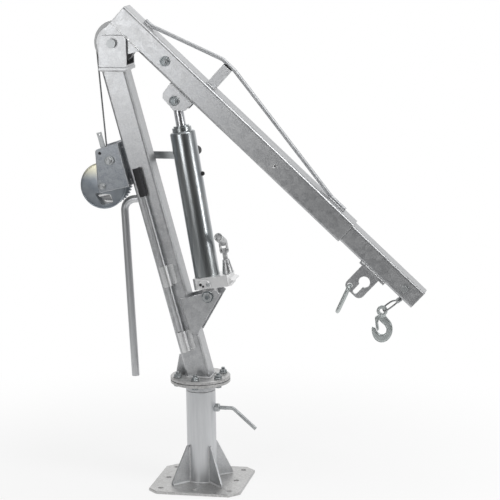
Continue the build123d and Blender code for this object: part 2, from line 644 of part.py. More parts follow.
ram -= rod_y(jack_frame, 0, JACK_REST, EAR_BOLT_D + 1, -RAM_D, RAM_D)
parts["jack_ram"] = ram

# Pump column, plunger and handle socket
column_base = Plane(jack_frame.from_local_coords((PUMP_Q, BASE_HIGH, 0)), x_dir=jack_frame.x_dir,
                    z_dir=jack_frame.y_dir)
column = column_base * Cone(PUMP_COLUMN_D / 2 + 5, PUMP_COLUMN_D / 2 - 2, PUMP_TOP - BASE_HIGH,
                            align=(Align.CENTER, Align.CENTER, Align.MIN))
cylinder_keep = jack_up * extrude(Circle(CYLINDER_D / 2 + 1), top)
parts["pump_column"] = column - cylinder_keep
lever_at = jack_frame.from_local_coords((PUMP_Q, LEVER_W, 0))
post_top = LEVER_W + PLUNGER_D / 2
post_face = Pos(PUMP_Q, (PUMP_TOP + post_top) / 2) * Rectangle(PLUNGER_D, post_top - PUMP_TOP)
tail = slab(post_face, jack_frame, -PLUNGER_D / 2, PLUNGER_D / 2)
lever_pin = Rot(0, 90, 0) * Cylinder(LEVER_PIN_D / 2, 2 * LEVER_TAB_OUT + 4)
pin_bar = jack_frame * (Pos(PUMP_Q, LEVER_W) * lever_pin)
parts["pump_plunger"] = tail + pin_bar
socket_up = math.radians(SOCKET_TILT)
socket_plane = Plane(lever_at + jack_frame.y_dir * SOCKET_RISE, x_dir=jack_frame.x_dir,
                     z_dir=Vector(0, -math.cos(socket_up), 0) + jack_frame.y_dir * math.sin(socket_up))
socket_base = socket_plane.offset(-SOCKET_BACK)
socket_ring = Circle(SOCKET_D / 2) - Circle(SOCKET_BORE / 2)
socket = extrude(socket_base * socket_ring, SOCKET_LEN)
for side in (-1, 1):
    tab_at = lever_at + jack_frame.x_dir * (side * (LEVER_TAB_OUT - LEVER_TAB / 2))
    tab_plane = Plane(tab_at, x_dir=(0, 1, 0), z_dir=jack_frame.x_dir)
    tab_face = Pos(0, 11) * Rectangle(18, 22) + Circle(9) - Circle(LEVER_PIN_D / 2 + PIN_CLEAR)
    socket += tab_plane * extrude(tab_face, LEVER_TAB / 2, both=True)
parts["pump_socket"] = socket - extrude(socket_base * Circle(SOCKET_BORE / 2), SOCKET_LEN)

# Jack bracket on the mast with its bolt
bracket_back = MAST_SIDE / 2 / math.cos(lean)
low_z = JACK_FOOT[1] - BRACKET_DROP
back_z = JACK_FOOT[1] - BRACKET_BACK_DOWN
bracket_pts = [(mast_x(low_z) + bracket_back - BRACKET_LAP, low_z + 4), (mast_x(low_z) + bracket_back, low_z),
               (JACK_FOOT[0] + BRACKET_NOSE, JACK_FOOT[1] + BRACKET_NOSE_UP),
               (JACK_FOOT[0] + BRACKET_TOP, JACK_FOOT[1] + BRACKET_TOP_UP),
               (mast_x(back_z) + bracket_back, back_z),
               (mast_x(back_z) + bracket_back - BRACKET_LAP, back_z - 5)]
bracket_face = polygon(bracket_pts) - Pos(*JACK_FOOT) * Circle(FOOT_PIN_D / 2)
for name, sign in (("near", -1), ("far", 1)):
    inner = sign * MAST_SIDE / 2
    outer = sign * (MAST_SIDE / 2 + BRACKET_THICK)
    parts["jack_bracket_" + name] = slab(bracket_face, world, min(inner, outer), max(inner, outer))
half = MAST_SIDE / 2 + BRACKET_THICK
foot_pin = rod_y(jack_frame, 0, 0, FOOT_PIN_D, -half, half)
for y0 in (-half - 9, half):
    foot_pin += slab(RegularPolygon(13, 6, major_radius=False), jack_frame, y0, y0 + 9)
parts["jack_foot_pin"] = foot_pin

# Winch frame: web behind the mast and two side plates
WINCH_LOW = CRANK_T - WINCH_BELOW
WINCH_HIGH = CRANK_T + WINCH_ABOVE
PAWL_PIN = (CRANK_P - PAWL_BACK, CRANK_T + PAWL_UP)
half_in = WINCH_INSIDE / 2
half_out = half_in + WINCH_PLATE
back = -MAST_SIDE / 2
web = back - WINCH_STANDOFF
front_low = CRANK_P - WINCH_FRONT_LOW
frame_face = polygon([(web, WINCH_LOW), (web, WINCH_HIGH), (CRANK_P - WINCH_FRONT_HIGH, WINCH_HIGH - 4),
                      (front_low, WINCH_LOW + 19), (front_low, WINCH_LOW + 2)])
corners = frame_face.vertices().sort_by(Axis.X)[:3]
frame_face = fillet(corners, 9)
DRUM_P = CRANK_P + GEAR_MODULE * (GEAR_TEETH + PINION_TEETH) / 2 * math.cos(math.radians(DRUM_DIR))
DRUM_T = CRANK_T + GEAR_MODULE * (GEAR_TEETH + PINION_TEETH) / 2 * math.sin(math.radians(DRUM_DIR))
frame = slab(frame_face, mast_frame, -half_out, half_out)
frame_tall = WINCH_HIGH - WINCH_LOW
inside = Rectangle(2 * frame_tall, 2 * frame_tall)
inside = Pos(web - WINCH_PLATE - frame_tall, (WINCH_LOW + WINCH_HIGH) / 2) * inside
frame -= slab(inside, mast_frame, -half_in, half_in)
frame -= rod_y(mast_frame, CRANK_P, CRANK_T, SHAFT_D + 2 * BEARING_CLEAR, -100, 100)
frame -= rod_y(mast_frame, DRUM_P, DRUM_T, AXLE_D, -100, 100)
pad = Pos(back - WINCH_STANDOFF / 2, (WINCH_LOW + WINCH_HIGH) / 2) * Rectangle(WINCH_STANDOFF, PAD_HEIGHT)
parts["winch_frame"] = frame + slab(pad, mast_frame, -PAD_WIDTH / 2, PAD_WIDTH / 2)
parts["drum_axle"] = rod_y(mast_frame, DRUM_P, DRUM_T, AXLE_D, -half_out - 6, half_out + 6)

# Drum: hub with the plain flange, toothed flange and the coil of cable
drum_near = -42
gear_near = 29
hub = Pos(DRUM_P, DRUM_T) * (Circle(HUB_D / 2) - Circle(AXLE_D / 2 + BEARING_CLEAR))
drum = slab(hub, mast_frame, drum_near - DRUM_FLANGE, gear_near)
drum_window = polygon([(-28, -22), (-6, -58), (30, -52), (22, -26)])
disc = Pos(DRUM_P, DRUM_T) * (Circle(FLANGE_R) - Circle(AXLE_D / 2 + BEARING_CLEAR))
disc -= Pos(DRUM_P, DRUM_T) * Rot(0, 0, -MAST_LEAN) * fillet(drum_window.vertices(), 5)
drum += slab(disc, mast_frame, drum_near - DRUM_FLANGE, drum_near)
parts["winch_drum"] = drum
mesh = math.degrees(math.atan2(CRANK_T - DRUM_T, CRANK_P - DRUM_P))
gear = involute_gear(GEAR_TEETH, GEAR_MODULE, AXLE_D + 2 * BEARING_CLEAR)
gear = Pos(DRUM_P, DRUM_T) * Rot(0, 0, mesh + 180 / GEAR_TEETH) * gear
parts["drum_gear"] = slab(gear, mast_frame, gear_near, gear_near + GEAR_WIDTH)
drum_axis = Plane(mast_frame.from_local_coords((DRUM_P, DRUM_T, -drum_near)), x_dir=mast_frame.x_dir,
                  z_dir=(0, 1, 0))
turns = 7
coil_r = HUB_D / 2 + CABLE_D / 2
coil_face = Pos(coil_r - CABLE_D / 4, turns * CABLE_D / 2) * Rectangle(CABLE_D / 2, turns * CABLE_D - 2)
for k in range(turns):
    coil_face += Pos(coil_r, (k + 0.5) * CABLE_D) * Circle(CABLE_D / 2)
coil_face -= Pos(HUB_D / 4, turns * CABLE_D / 2) * Rectangle(HUB_D / 2, 2 * turns * CABLE_D)
parts["cable_coil"] = drum_axis * revolve(Plane.XZ * coil_face, Axis.Z)

# Crank shaft, pinion, crank and ratchet
arm_near = half_out + 7
arm_far = arm_near + CRANK_ARM_T
shaft = rod_y(mast_frame, CRANK_P, CRANK_T, SHAFT_D, -half_out - 12, arm_near)
pinion = involute_gear(PINION_TEETH, GEAR_MODULE, 0)
pinion = Pos(CRANK_P, CRANK_T) * Rot(0, 0, mesh + 180) * pinion
parts["crank_shaft"] = shaft + slab(pinion, mast_frame, gear_near, gear_near + GEAR_WIDTH)
crank_at = mast_frame.from_local_coords((CRANK_P, CRANK_T, 0))
crank_frame = Plane(crank_at, x_dir=(1, 0, 0), z_dir=(0, -1, 0))
arm_face = Pos(CRANK_ARM / 2, 0) * SlotCenterToCenter(CRANK_ARM, CRANK_ARM_W)
parts["crank_arm"] = slab(arm_face, crank_frame, arm_near, arm_far)
parts["crank_grip"] = rod_y(crank_frame, CRANK_ARM, 0, CRANK_GRIP_D, arm_far, arm_far + CRANK_GRIP_LEN)
ratchet = Pos(CRANK_P, CRANK_T) * ratchet_face(RATCHET_TEETH, RATCHET_R, 6, SHAFT_D + 2 * BEARING_CLEAR)
parts["ratchet_wheel"] = slab(ratchet, mast_frame, 4, 12)
pawl_face = Circle(PAWL_W / 2) + Pos(0, PAWL_LEN / 2) * Rectangle(PAWL_W, PAWL_LEN)
pawl_face = Pos(*PAWL_PIN) * (pawl_face - Pos(0, PAWL_LEN - PAWL_W / 2) * Circle(PAWL_W / 5))
pawl = slab(pawl_face, mast_frame, -2, 4)
parts["winch_pawl"] = pawl + rod_y(mast_frame, PAWL_PIN[0], PAWL_PIN[1], PAWL_PIN_D, -half_in, half_in)

# Cable: from the drum to the head sheave, through the jib, round the tip sheave to the hook
coil_tangent = mast_frame.from_local_coords((DRUM_P, DRUM_T, 0))
run_start = Vector(coil_tangent.X + coil_r + CABLE_D + LAY_CLEAR, drum_near + 2.5 * CABLE_D, coil_tangent.Z)
wrap_r = SHEAVE_R - GROOVE_DEPTH + CABLE_D / 2 + LAY_CLEAR
reach = Vector(run_start.X - PIVOT[0], 0, run_start.Z - PIVOT[1])
touch = math.atan2(reach.Z, reach.X) % (2 * math.pi) - math.acos(wrap_r / reach.length)
run_end = Vector(PIVOT[0] + wrap_r * math.cos(touch), 0, PIVOT[1] + wrap_r * math.sin(touch))
run_dir = (run_end - run_start).normalized()
run = Plane(run_start, z_dir=run_dir) * extrude(Circle(CABLE_D / 2), (run_end - run_start).length)
wrap_face = Pos(wrap_r, 0) * Circle(CABLE_D / 2)
wrap_end = 90 - BOOM_DIP
pivot_frame = Plane((PIVOT[0], 0, PIVOT[1]), x_dir=(1, 0, 0), z_dir=(0, -1, 0))
wrap = Rot(0, 0, wrap_end) * revolve(Plane.XZ * wrap_face, Axis.Z, math.degrees(touch) - wrap_end)
parts["winch_cable"] = run + pivot_frame * wrap
parts["boom_cable"] = along(boom_frame, CABLE_SKIP, INNER_TAIL + CABLE_LAP, Circle(CABLE_D / 2), wrap_r)

tip_r = TIP_SHEAVE_R - GROOVE_DEPTH + CABLE_D / 2 + LAY_CLEAR
tip_lane = PIVOT_DROP + tip_r
tip_run = along(boom_frame, INNER_TAIL + 20, TIP_AXLE_S, Circle(CABLE_D / 2), tip_lane)
tip_face = Pos(tip_r, 0) * Circle(CABLE_D / 2)
tip_frame = Plane(boom_frame.from_local_coords((TIP_AXLE_S, PIVOT_DROP, 0)), x_dir=boom_frame.x_dir,
                  z_dir=(0, -1, 0))
tip_wrap = tip_frame * (Rot(0, 0, -TIP_WRAP) * revolve(Plane.XZ * tip_face, Axis.Z, 90 + TIP_WRAP))
leave = math.radians(TIP_WRAP)
leave_at = Vector(TIP_AXLE_S + tip_r * math.cos(leave), PIVOT_DROP - tip_r * math.sin(leave))
leave_dir = Vector(-math.sin(leave), -math.cos(leave))
tail_len = (leave_at.Y - CLIP_N) / math.cos(leave)
clip_at = leave_at + leave_dir * tail_len
leave_point = boom_frame.from_local_coords(leave_at)
tail_way = boom_frame.from_local_coords(clip_at) - leave_point
tip_tail = Plane(leave_point, z_dir=tail_way) * extrude(Circle(CABLE_D / 2), tail_len)

# Clip and the loop that carries the hook's eye
clip_point = boom_frame.from_local_coords(clip_at)
eye_point = Vector(HOOK_AT[0], 0, HOOK_AT[1])
hang = (clip_point - eye_point).normalized()
loop_low = eye_point + hang * LOOP_LIFT
loop_len = (clip_point - loop_low).length
loop_frame = Plane(loop_low, x_dir=(0, 1, 0), z_dir=Vector(0, 1, 0).cross(hang))
strand = LOOP_WIDTH / 2
loop_points = [(0, loop_len), (strand, loop_len * 0.5), (strand, 0), (-strand, 0),
               (-strand, loop_len * 0.5), (-CABLE_D, loop_len)]
loop = sweep_round(loop_frame, loop_points, [20, 7, 7, 20], CABLE_D)
parts["tip_cable"] = tip_run + tip_wrap + tip_tail + loop
clip_plane = Plane(clip_point - hang * 4, x_dir=(0, 1, 0), z_dir=hang)
clip_body = clip_plane * extrude(RectangleRounded(CLIP_BODY_W, CLIP_BODY_D, 3), CLIP_BODY_H)
parts["cable_clip"] = clip_body - parts["tip_cable"]

# Turning handle: bent tube welded to the back of the mast
turn_a = mast_frame.from_local_coords((back + TURN_ROOT, WINCH_LOW - TURN_BELOW_WINCH, 0))
elbow_x = turn_a.X - TURN_OUT - TURN_ROOT
end = (elbow_x + TURN_KICK, turn_a.Z - TURN_LEN)
turn_points = [(turn_a.X, turn_a.Z), (elbow_x, turn_a.Z - TURN_FALL), end]
turn_out = sweep_round(world, turn_points, [TURN_BEND_R], TURN_D)
turn_in = sweep_round(world, turn_points, [TURN_BEND_R], TURN_D - 2 * TURN_WALL)
parts["turning_handle"] = turn_out - turn_in - mast_full

# Stored pump handle in its two clips
store_y = -MAST_SIDE / 2 - CLIP_D / 2


def store_tube(d_out, d_in, low, high):
    base = Plane(mast_frame.from_local_coords((STORE_P, low, -store_y)), x_dir=mast_frame.x_dir,
                 z_dir=mast_frame.y_dir)
    face = Circle(d_out / 2) - Circle(d_in / 2) if d_in else Circle(d_out / 2)
    return base * extrude(face, high - low)


bar_low = CLIP_LOW_T + CLIP_WALL
lower_clip = store_tube(CLIP_D, CLIP_D - 2 * CLIP_WALL, CLIP_LOW_T, CLIP_LOW_T + CLIP_LEN)
parts["handle_clip_lower"] = lower_clip + store_tube(CLIP_D, 0, CLIP_LOW_T, bar_low)
parts["handle_clip_upper"] = store_tube(CLIP_D, CLIP_D - 2 * CLIP_WALL, CLIP_HIGH_T, CLIP_HIGH_T + CLIP_LEN)
parts["pump_handle"] = store_tube(BAR_D, 0, bar_low, BAR_TOP_T)
parts["pump_handle_grip"] = store_tube(RUBBER_D, BAR_D, BAR_TOP_T - RUBBER_LEN, BAR_TOP_T)

os.makedirs("parts", exist_ok=True)
for node, shape in parts.items():
    solids = shape.solids()
    export_step(Compound(children=solids) if len(solids) > 1 else solids[0], f"parts/{node}.step")
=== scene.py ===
import json
import math

import bmesh
import bpy
from mathutils import Matrix, Vector


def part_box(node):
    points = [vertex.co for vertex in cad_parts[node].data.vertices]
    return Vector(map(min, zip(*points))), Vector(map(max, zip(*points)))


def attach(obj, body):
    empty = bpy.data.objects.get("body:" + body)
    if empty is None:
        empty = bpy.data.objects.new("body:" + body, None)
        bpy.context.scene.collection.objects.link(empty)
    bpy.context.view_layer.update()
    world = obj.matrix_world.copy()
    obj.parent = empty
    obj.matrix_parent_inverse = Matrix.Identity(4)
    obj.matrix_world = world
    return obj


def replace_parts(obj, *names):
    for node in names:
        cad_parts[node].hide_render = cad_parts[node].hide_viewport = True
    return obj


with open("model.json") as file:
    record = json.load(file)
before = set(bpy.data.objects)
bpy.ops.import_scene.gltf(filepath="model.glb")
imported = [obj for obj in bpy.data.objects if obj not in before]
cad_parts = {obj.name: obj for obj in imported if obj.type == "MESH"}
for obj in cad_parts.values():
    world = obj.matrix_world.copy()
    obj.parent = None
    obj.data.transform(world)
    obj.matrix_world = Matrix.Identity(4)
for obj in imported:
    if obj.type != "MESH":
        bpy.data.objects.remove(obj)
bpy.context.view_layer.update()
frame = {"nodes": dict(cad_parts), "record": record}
nodes = frame["nodes"]
joints = {joint["name"]: joint for joint in frame["record"]["behaviour"]["joints"]}
print("crane frame loaded,", len(nodes), "nodes")


# side frames of the crane: along and up lie in the upright plane of the jib
def sideFrame(at, along):
    along = Vector(along).normalized()
    return {"at": Vector(at), "along": along, "up": Vector((-along.z, 0, along.x))}


mastSet = {"foot": (0.0024, 0, 0.335), "lean": 14.5, "half": 0.035}
mastLean = math.radians(mastSet["lean"])
ramWay = Vector(joints["ram_slide"]["axis"])
mastFrame = sideFrame(mastSet["foot"], (math.cos(mastLean), 0, math.sin(mastLean)))
jibFrame = sideFrame(joints["luff"]["pos_m"], joints["jib_extend"]["axis"])
jackFrame = sideFrame(joints["jack_tilt"]["pos_m"], (ramWay.z, 0, -ramWay.x))


def spot(side, a, b, y=0.0):  # millimetres in a side frame to metres in the scene
    return side["at"] + side["along"] * (a / 1000) + side["up"] * (b / 1000) + Vector((0, y / 1000, 0))


drumAt = (-120.9, 629.3)  # in the mast's frame
drumAxle = spot(mastFrame, *drumAt)
fullTurn, halfTurn = 6.2832, 3.14159  # radians, as the node trees take them


def roundTurns(steps):
    return [2 * math.pi * step / steps for step in range(steps)]


# camera: its place and angles were fitted to points of the crane
cameraSet = {"place": (1.29897, -5.51078, 1.82800), "yaw": 11.694, "pitch": 11.126, "roll": -0.9026,
             "lens": 139.74, "sensor": 36, "clip": 100}


def makeCamera(s):
    yaw, pitch, roll = (math.radians(s[key]) for key in ("yaw", "pitch", "roll"))
    forward = Vector((-math.sin(yaw) * math.cos(pitch), math.cos(yaw) * math.cos(pitch), -math.sin(pitch)))
    level = Vector((math.cos(yaw), math.sin(yaw), 0))
    above = level.cross(forward)
    right = level * math.cos(roll) + above * math.sin(roll)
    up = above * math.cos(roll) - level * math.sin(roll)
    lensData = bpy.data.cameras.new("camera")
    lensData.lens = s["lens"]
    lensData.sensor_width = s["sensor"]
    lensData.clip_end = s["clip"]
    camera = bpy.data.objects.new("camera", lensData)
    turned = Matrix((right, up, -forward)).transposed().to_4x4()
    camera.matrix_world = Matrix.Translation(s["place"]) @ turned
    bpy.context.scene.collection.objects.link(camera)
    bpy.context.scene.camera = camera


makeCamera(cameraSet)
print("camera set")


# sockets that add up like numbers
class Signal:
    def __init__(self, graph, node, socket):
        self.graph, self.node, self.socket = graph, node, socket

    def out(self, name):
        return Signal(self.graph, self.node, self.node.outputs[name])

    def maths(self, operation, a, b=0.0):
        return self.graph.add("ShaderNodeMath", {"operation": operation}, {0: a, 1: b})

    def __add__(self, other):
        return self.maths("ADD", self, other)

    def __radd__(self, other):
        return self.maths("ADD", other, self)

    def __sub__(self, other):
        return self.maths("SUBTRACT", self, other)

    def __rsub__(self, other):
        return self.maths("SUBTRACT", other, self)

    def __mul__(self, other):
        return self.maths("MULTIPLY", self, other)

    def __rmul__(self, other):
        return self.maths("MULTIPLY", other, self)

    def __truediv__(self, other):
        return self.maths("DIVIDE", self, other)

    def __rtruediv__(self, other):
        return self.maths("DIVIDE", other, self)

    def __pow__(self, other):
        return self.maths("POWER", self, other)

    def __rpow__(self, other):
        return self.maths("POWER", other, self)


class Graph:
    def __init__(self, tree):
        self.tree = tree

    def add(self, kind, settings=None, values=None, out=0):
        node = self.tree.nodes.new(kind)
        for key, value in (settings or {}).items():
            if key == "stops":
                ramp = node.color_ramp.elements
                while len(ramp) < len(value):
                    ramp.new(0.5)
                for element, (position, shade) in zip(ramp, value):
                    element.position = position
                    element.color = (shade, shade, shade, 1)
            else:
                setattr(node, key, value)
        for key, value in (values or {}).items():
            if isinstance(value, Signal):
                self.tree.links.new(value.socket, node.inputs[key])
            else:
                node.inputs[key].default_value = value
        return Signal(self, node, node.outputs[out] if len(node.outputs) else None)

    def blend(self, first, second, factor):
        first, second = ((*c, 1) if isinstance(c, tuple) else c for c in (first, second))
        return self.add("ShaderNodeMix", {"data_type": "RGBA"}, {0: factor, 6: first, 7: second}, out=2)

    def ramp(self, signal, *stops):
        return self.add("ShaderNodeValToRGB", {"stops": stops}, {0: signal})

    def fade(self, signal, low, high, start=0.0):  # eases from start to 1 between low and high
        return self.add("ShaderNodeMapRange", {"interpolation_type": "SMOOTHSTEP"},
                        {"Value": signal, "From Min": low, "From Max": high, "To Min": start})

    def noise(self, place, scale, detail=2.0, rough=0.5):
        return self.add("ShaderNodeTexNoise", None,
                        {"Vector": place, "Scale": scale, "Detail": detail, "Roughness": rough})

    def bump(self, normal, height, strength, distance):
        return self.add("ShaderNodeBump", None,
                        {"Strength": strength, "Distance": distance, "Height": height, "Normal": normal})

    def corners(self, radius, gain):  # rounded normal, and how far it leaves the flat one
        rounded = self.add("ShaderNodeBevel", {"samples": 5}, {"Radius": radius})
        flat = self.add("ShaderNodeNewGeometry").out("Normal")
        same = self.add("ShaderNodeVectorMath", {"operation": "DOT_PRODUCT"}, {0: rounded, 1: flat},
                        out="Value")
        # the edge mask lightens corners: partly rubbed wear, partly painted highlight
        edgeWearAndHighlight = self.add("ShaderNodeMath", {"operation": "MULTIPLY", "use_clamp": True},
                          {0: 1 - same, 1: gain})
        return rounded, edgeWearAndHighlight

    def place(self, scale=(1, 1, 1), turn=(0, 0, 0)):
        coords = self.add("ShaderNodeTexCoord").out("Object")
        return self.add("ShaderNodeMapping", None, {"Vector": coords, "Rotation": turn, "Scale": scale})


def newMaterial(name):
    material = bpy.data.materials.new(name)
    material.use_nodes = True
    material.node_tree.nodes.clear()
    graph = Graph(material.node_tree)
    return material, graph


def closeMaterial(graph, values, corner, height, s):
    values["Normal"] = graph.bump(corner, height, s["bump"], s["depth"])
    shader = graph.add("ShaderNodeBsdfPrincipled", None, values)
    graph.add("ShaderNodeOutputMaterial", None, {"Surface": shader})


# hot-dip zinc: crystals, cloudy patches, fine pitting, and corners lightened, partly as rubbed wear and
# partly as painted highlight
galvanisedSet = {"dark": (0.40, 0.41, 0.425), "pale": (0.68, 0.685, 0.69), "wornAndHighlight": (0.82, 0.825, 0.83),
                 "crystal": 70.0, "speckle": 210.0, "cloud": 5.5, "pits": 420.0, "stretch": (1, 1, 1),
                 "tone": {"crystal": 0.26, "cloud": 0.5, "speckle": 1.3, "shift": 0.58},
                 "dull": {"crystal": 0.06, "pits": 0.07, "cloud": 0.06},
                 "relief": {"pits": 0.4, "speckle": 0.4, "crystal": 0.3},
                 "rough": 0.30, "metal": 0.88, "bump": 0.13, "depth": 0.0006,
                 "corner": 0.0016, "wearAndHighlightGain": 3.0, "wearAndHighlightShare": 0.8}
squareTubeSet = dict(galvanisedSet, corner=0.003, wearAndHighlightGain=1.2)
trussSet = dict(galvanisedSet, dark=(0.44, 0.45, 0.465), pale=(0.66, 0.67, 0.68), rough=0.42,
                speckle=60.0, bump=0.03, corner=0.003)
plateSet = dict(galvanisedSet, dark=(0.33, 0.328, 0.325), pale=(0.74, 0.74, 0.735), crystal=150.0,
                rough=0.36, pits=260.0, bump=0.35)
winchPlateSet = dict(galvanisedSet, dark=(0.19, 0.21, 0.235), pale=(0.48, 0.50, 0.525), crystal=90.0,
                     corner=0.0045, wearAndHighlightGain=5.0)
tubeSet = dict(galvanisedSet, dark=(0.52, 0.53, 0.545), pale=(0.70, 0.71, 0.72), crystal=40.0,
               rough=0.285, speckle=60.0, bump=0.04, stretch=(1, 1, 0.06))
weldSet = dict(galvanisedSet, dark=(0.58, 0.585, 0.59), pale=(0.86, 0.865, 0.87), crystal=200.0,
               rough=0.34, bump=0.4)


def galvanised(name, s):
    material, graph = newMaterial(name)
    place = graph.place(s["stretch"])
    cells = graph.add("ShaderNodeTexVoronoi", {"feature": "F1"},
                      {"Vector": place, "Scale": s["crystal"], "Randomness": 1.0}).out("Color")
    shade = graph.add("ShaderNodeSeparateColor", None, {0: cells})
    speckle = graph.noise(place, s["speckle"], detail=3.0, rough=0.75)
    clouds = graph.noise(place, s["cloud"], detail=3.0, rough=0.6)
    pits = graph.noise(place, s["pits"], detail=3.0)
    corner, edgeWearAndHighlight = graph.corners(s["corner"], s["wearAndHighlightGain"])
    tone, dull, relief = s["tone"], s["dull"], s["relief"]
    mixed = shade * tone["crystal"] + clouds * tone["cloud"] + speckle * tone["speckle"] - tone["shift"]
    # corners lightened: partly rubbed wear, partly painted highlight
    colour = graph.blend(graph.blend(s["dark"], s["pale"], mixed), s["wornAndHighlight"], edgeWearAndHighlight * s["wearAndHighlightShare"])
    rough = shade * dull["crystal"] + pits * dull["pits"] + clouds * dull["cloud"] + s["rough"]
    height = pits * relief["pits"] + speckle * relief["speckle"] + shade * relief["crystal"]
    closeMaterial(graph, {"Base Color": colour, "Metallic": s["metal"], "Roughness": rough}, corner,
                  height, s)
    return material


# zinc plate, castings and polished steel
platedSet = {"dark": (0.36, 0.375, 0.385), "pale": (0.62, 0.64, 0.645), "wornAndHighlight": (0.82, 0.83, 0.83),
             "cloud": 16.0, "spread": 1.3, "shift": 0.15, "grain": 240.0, "speck": 0.7,
             "stretch": (1, 1, 1), "turn": (0, 0, 0), "rough": 0.36, "vary": 0.08, "metal": 0.93,
             "bump": 0.06, "depth": 0.0005, "corner": 0.0014, "wearAndHighlightGain": 3.0, "wearAndHighlightShare": 0.7}
boltSet = dict(platedSet, dark=(0.10, 0.118, 0.13), pale=(0.40, 0.43, 0.44), wornAndHighlight=(0.88, 0.89, 0.89),
               rough=0.30, cloud=70.0, speck=0.5, corner=0.002, wearAndHighlightGain=5.0)
drumSet = dict(platedSet, dark=(0.17, 0.20, 0.24), pale=(0.47, 0.50, 0.53), rough=0.30, cloud=22.0,
               speck=0.3, dish=1.0, strawTintAndSheen=(0.66, 0.64, 0.50), tintAndSheenFrom=0.012, tintAndSheenTo=0.058)
hookSet = dict(platedSet, dark=(0.40, 0.43, 0.43), pale=(0.68, 0.72, 0.71), rough=0.29, corner=0.009,
               wearAndHighlightGain=0.15, bump=0.1, speck=0.3)
cylinderSet = dict(platedSet, dark=(0.22, 0.25, 0.28), pale=(0.68, 0.70, 0.69), rough=0.282, vary=0.01,
                   metal=0.97, cloud=55.0, bump=0.01, speck=0.1, stretch=(1, 1, 0.03),
                   turn=(0, math.atan2(-ramWay.x, ramWay.z), 0))
castingSet = dict(platedSet, dark=(0.74, 0.745, 0.75), pale=(0.95, 0.95, 0.95), metal=0.85, grain=130.0,
                  bump=0.35, corner=0.003)
pumpSet = dict(platedSet, dark=(0.20, 0.205, 0.21), pale=(0.88, 0.885, 0.89), rough=0.32, cloud=95.0,
               speck=0.9, bump=0.3, corner=0.002)
chromeSet = dict(platedSet, dark=(0.74, 0.75, 0.77), pale=(0.84, 0.85, 0.87), rough=0.28, vary=0.005,
                 metal=1.0, bump=0.005, speck=0.1)
ropeSet = dict(platedSet, dark=(0.22, 0.225, 0.23), pale=(0.46, 0.465, 0.47), grain=500.0, bump=0.2,
               corner=0.0004)
sheaveSet = dict(platedSet, dark=(0.34, 0.345, 0.35), pale=(0.56, 0.565, 0.57), rough=0.4, metal=0.85,
                 bump=0.15)


# the drum's pressed cheek bulges a little round its axle, and grows paler and straw-tinted towards the upper
# edge: partly a passivation tint, partly a painted reflection
def drumCheek(graph, s, corner, colour):
    parts = graph.add("ShaderNodeSeparateXYZ", None, {0: graph.add("ShaderNodeTexCoord").out("Object")})
    across, high = parts.out("X") - drumAxle.x, parts.out("Z") - drumAxle.z
    bulge = across ** 2 + high ** 2
    corner = graph.bump(corner, bulge * -s["dish"], 1.0, 1.0)
    # paler straw colour towards the top: partly passivation tint, partly painted reflection
    return corner, graph.blend(colour, s["strawTintAndSheen"], graph.fade(high, s["tintAndSheenFrom"], s["tintAndSheenTo"]))


def plated(name, s):
    material, graph = newMaterial(name)
    place = graph.place(s["stretch"], s["turn"])
    clouds = graph.noise(place, s["cloud"], detail=3.0, rough=0.6)
    grain = graph.noise(place, s["grain"], detail=3.0, rough=0.7)
    corner, edgeWearAndHighlight = graph.corners(s["corner"], s["wearAndHighlightGain"])
    mixed = clouds * s["spread"] + grain * s["speck"] - (s["shift"] + s["speck"] / 2)
    colour = graph.blend(s["dark"], s["pale"], mixed)
    if "dish" in s:
        corner, colour = drumCheek(graph, s, corner, colour)
    # corners lightened: partly rubbed wear, partly painted highlight
    colour = graph.blend(colour, s["wornAndHighlight"], edgeWearAndHighlight * s["wearAndHighlightShare"])
    rough = (grain + clouds) * s["vary"] + s["rough"]
    closeMaterial(graph, {"Base Color": colour, "Metallic": s["metal"], "Roughness": rough}, corner,
                  grain, s)
    return material


# moulded black grips
rubberSet = {"dark": (0.012, 0.012, 0.014), "pale": (0.035, 0.035, 0.038), "grain": 700.0, "dust": 40.0,
             "dusty": 0.8, "rough": 0.62, "vary": 0.16, "bump": 0.25, "depth": 0.0004,
             "corner": 0.0015, "wearAndHighlightGain": 2.0, "wearAndHighlightShare": 0.3}


def moulded(name, s):
    material, graph = newMaterial(name)
    place = graph.place()
    grain = graph.noise(place, s["grain"])
    dust = graph.noise(place, s["dust"], detail=4.0, rough=0.65)
    corner, edgeWearAndHighlight = graph.corners(s["corner"], s["wearAndHighlightGain"])
    # edges of the grip lightened: partly rubbed wear, partly painted highlight
    colour = graph.blend(s["dark"], s["pale"], dust * s["dusty"] + edgeWearAndHighlight * s["wearAndHighlightShare"])
    rough = grain * s["vary"] + (s["rough"] - s["vary"] / 2)
    closeMaterial(graph, {"Base Color": colour, "Roughness": rough}, corner, grain, s)
    return material


finishes = {"galvanised_steel": galvanised("galvanisedSteel", galvanisedSet),
            "squareTube": galvanised("squareTube", squareTubeSet),
            "trussZinc": galvanised("trussZinc", trussSet),
            "galvanisedPlate": galvanised("galvanisedPlate", plateSet),
            "winchPlate": galvanised("winchPlate", winchPlateSet),
            "drawnTube": galvanised("drawnTube", tubeSet),
            "weldBead": galvanised("weldBead", weldSet),
            "zinc_hardware": plated("zincHardware", platedSet),
            "boltZinc": plated("boltZinc", boltSet),
            "drumZinc": plated("drumZinc", drumSet),
            "forgedZinc": plated("forgedZinc", hookSet),
            "bright_zinc": plated("jackCylinderZinc", cylinderSet),
            "jackCasting": plated("jackCasting", castingSet),
            "pumpZinc": plated("pumpZinc", pumpSet),
            "chrome_rod": plated("chromeRod", chromeSet),
            "wire_rope": plated("ropeWire", ropeSet),
            "black_rubber": moulded("gripRubber", rubberSet),
            "black_plastic": moulded("crankGripPlastic", rubberSet),
            "cast_sheave": plated("sheaveCasting", sheaveSet)}
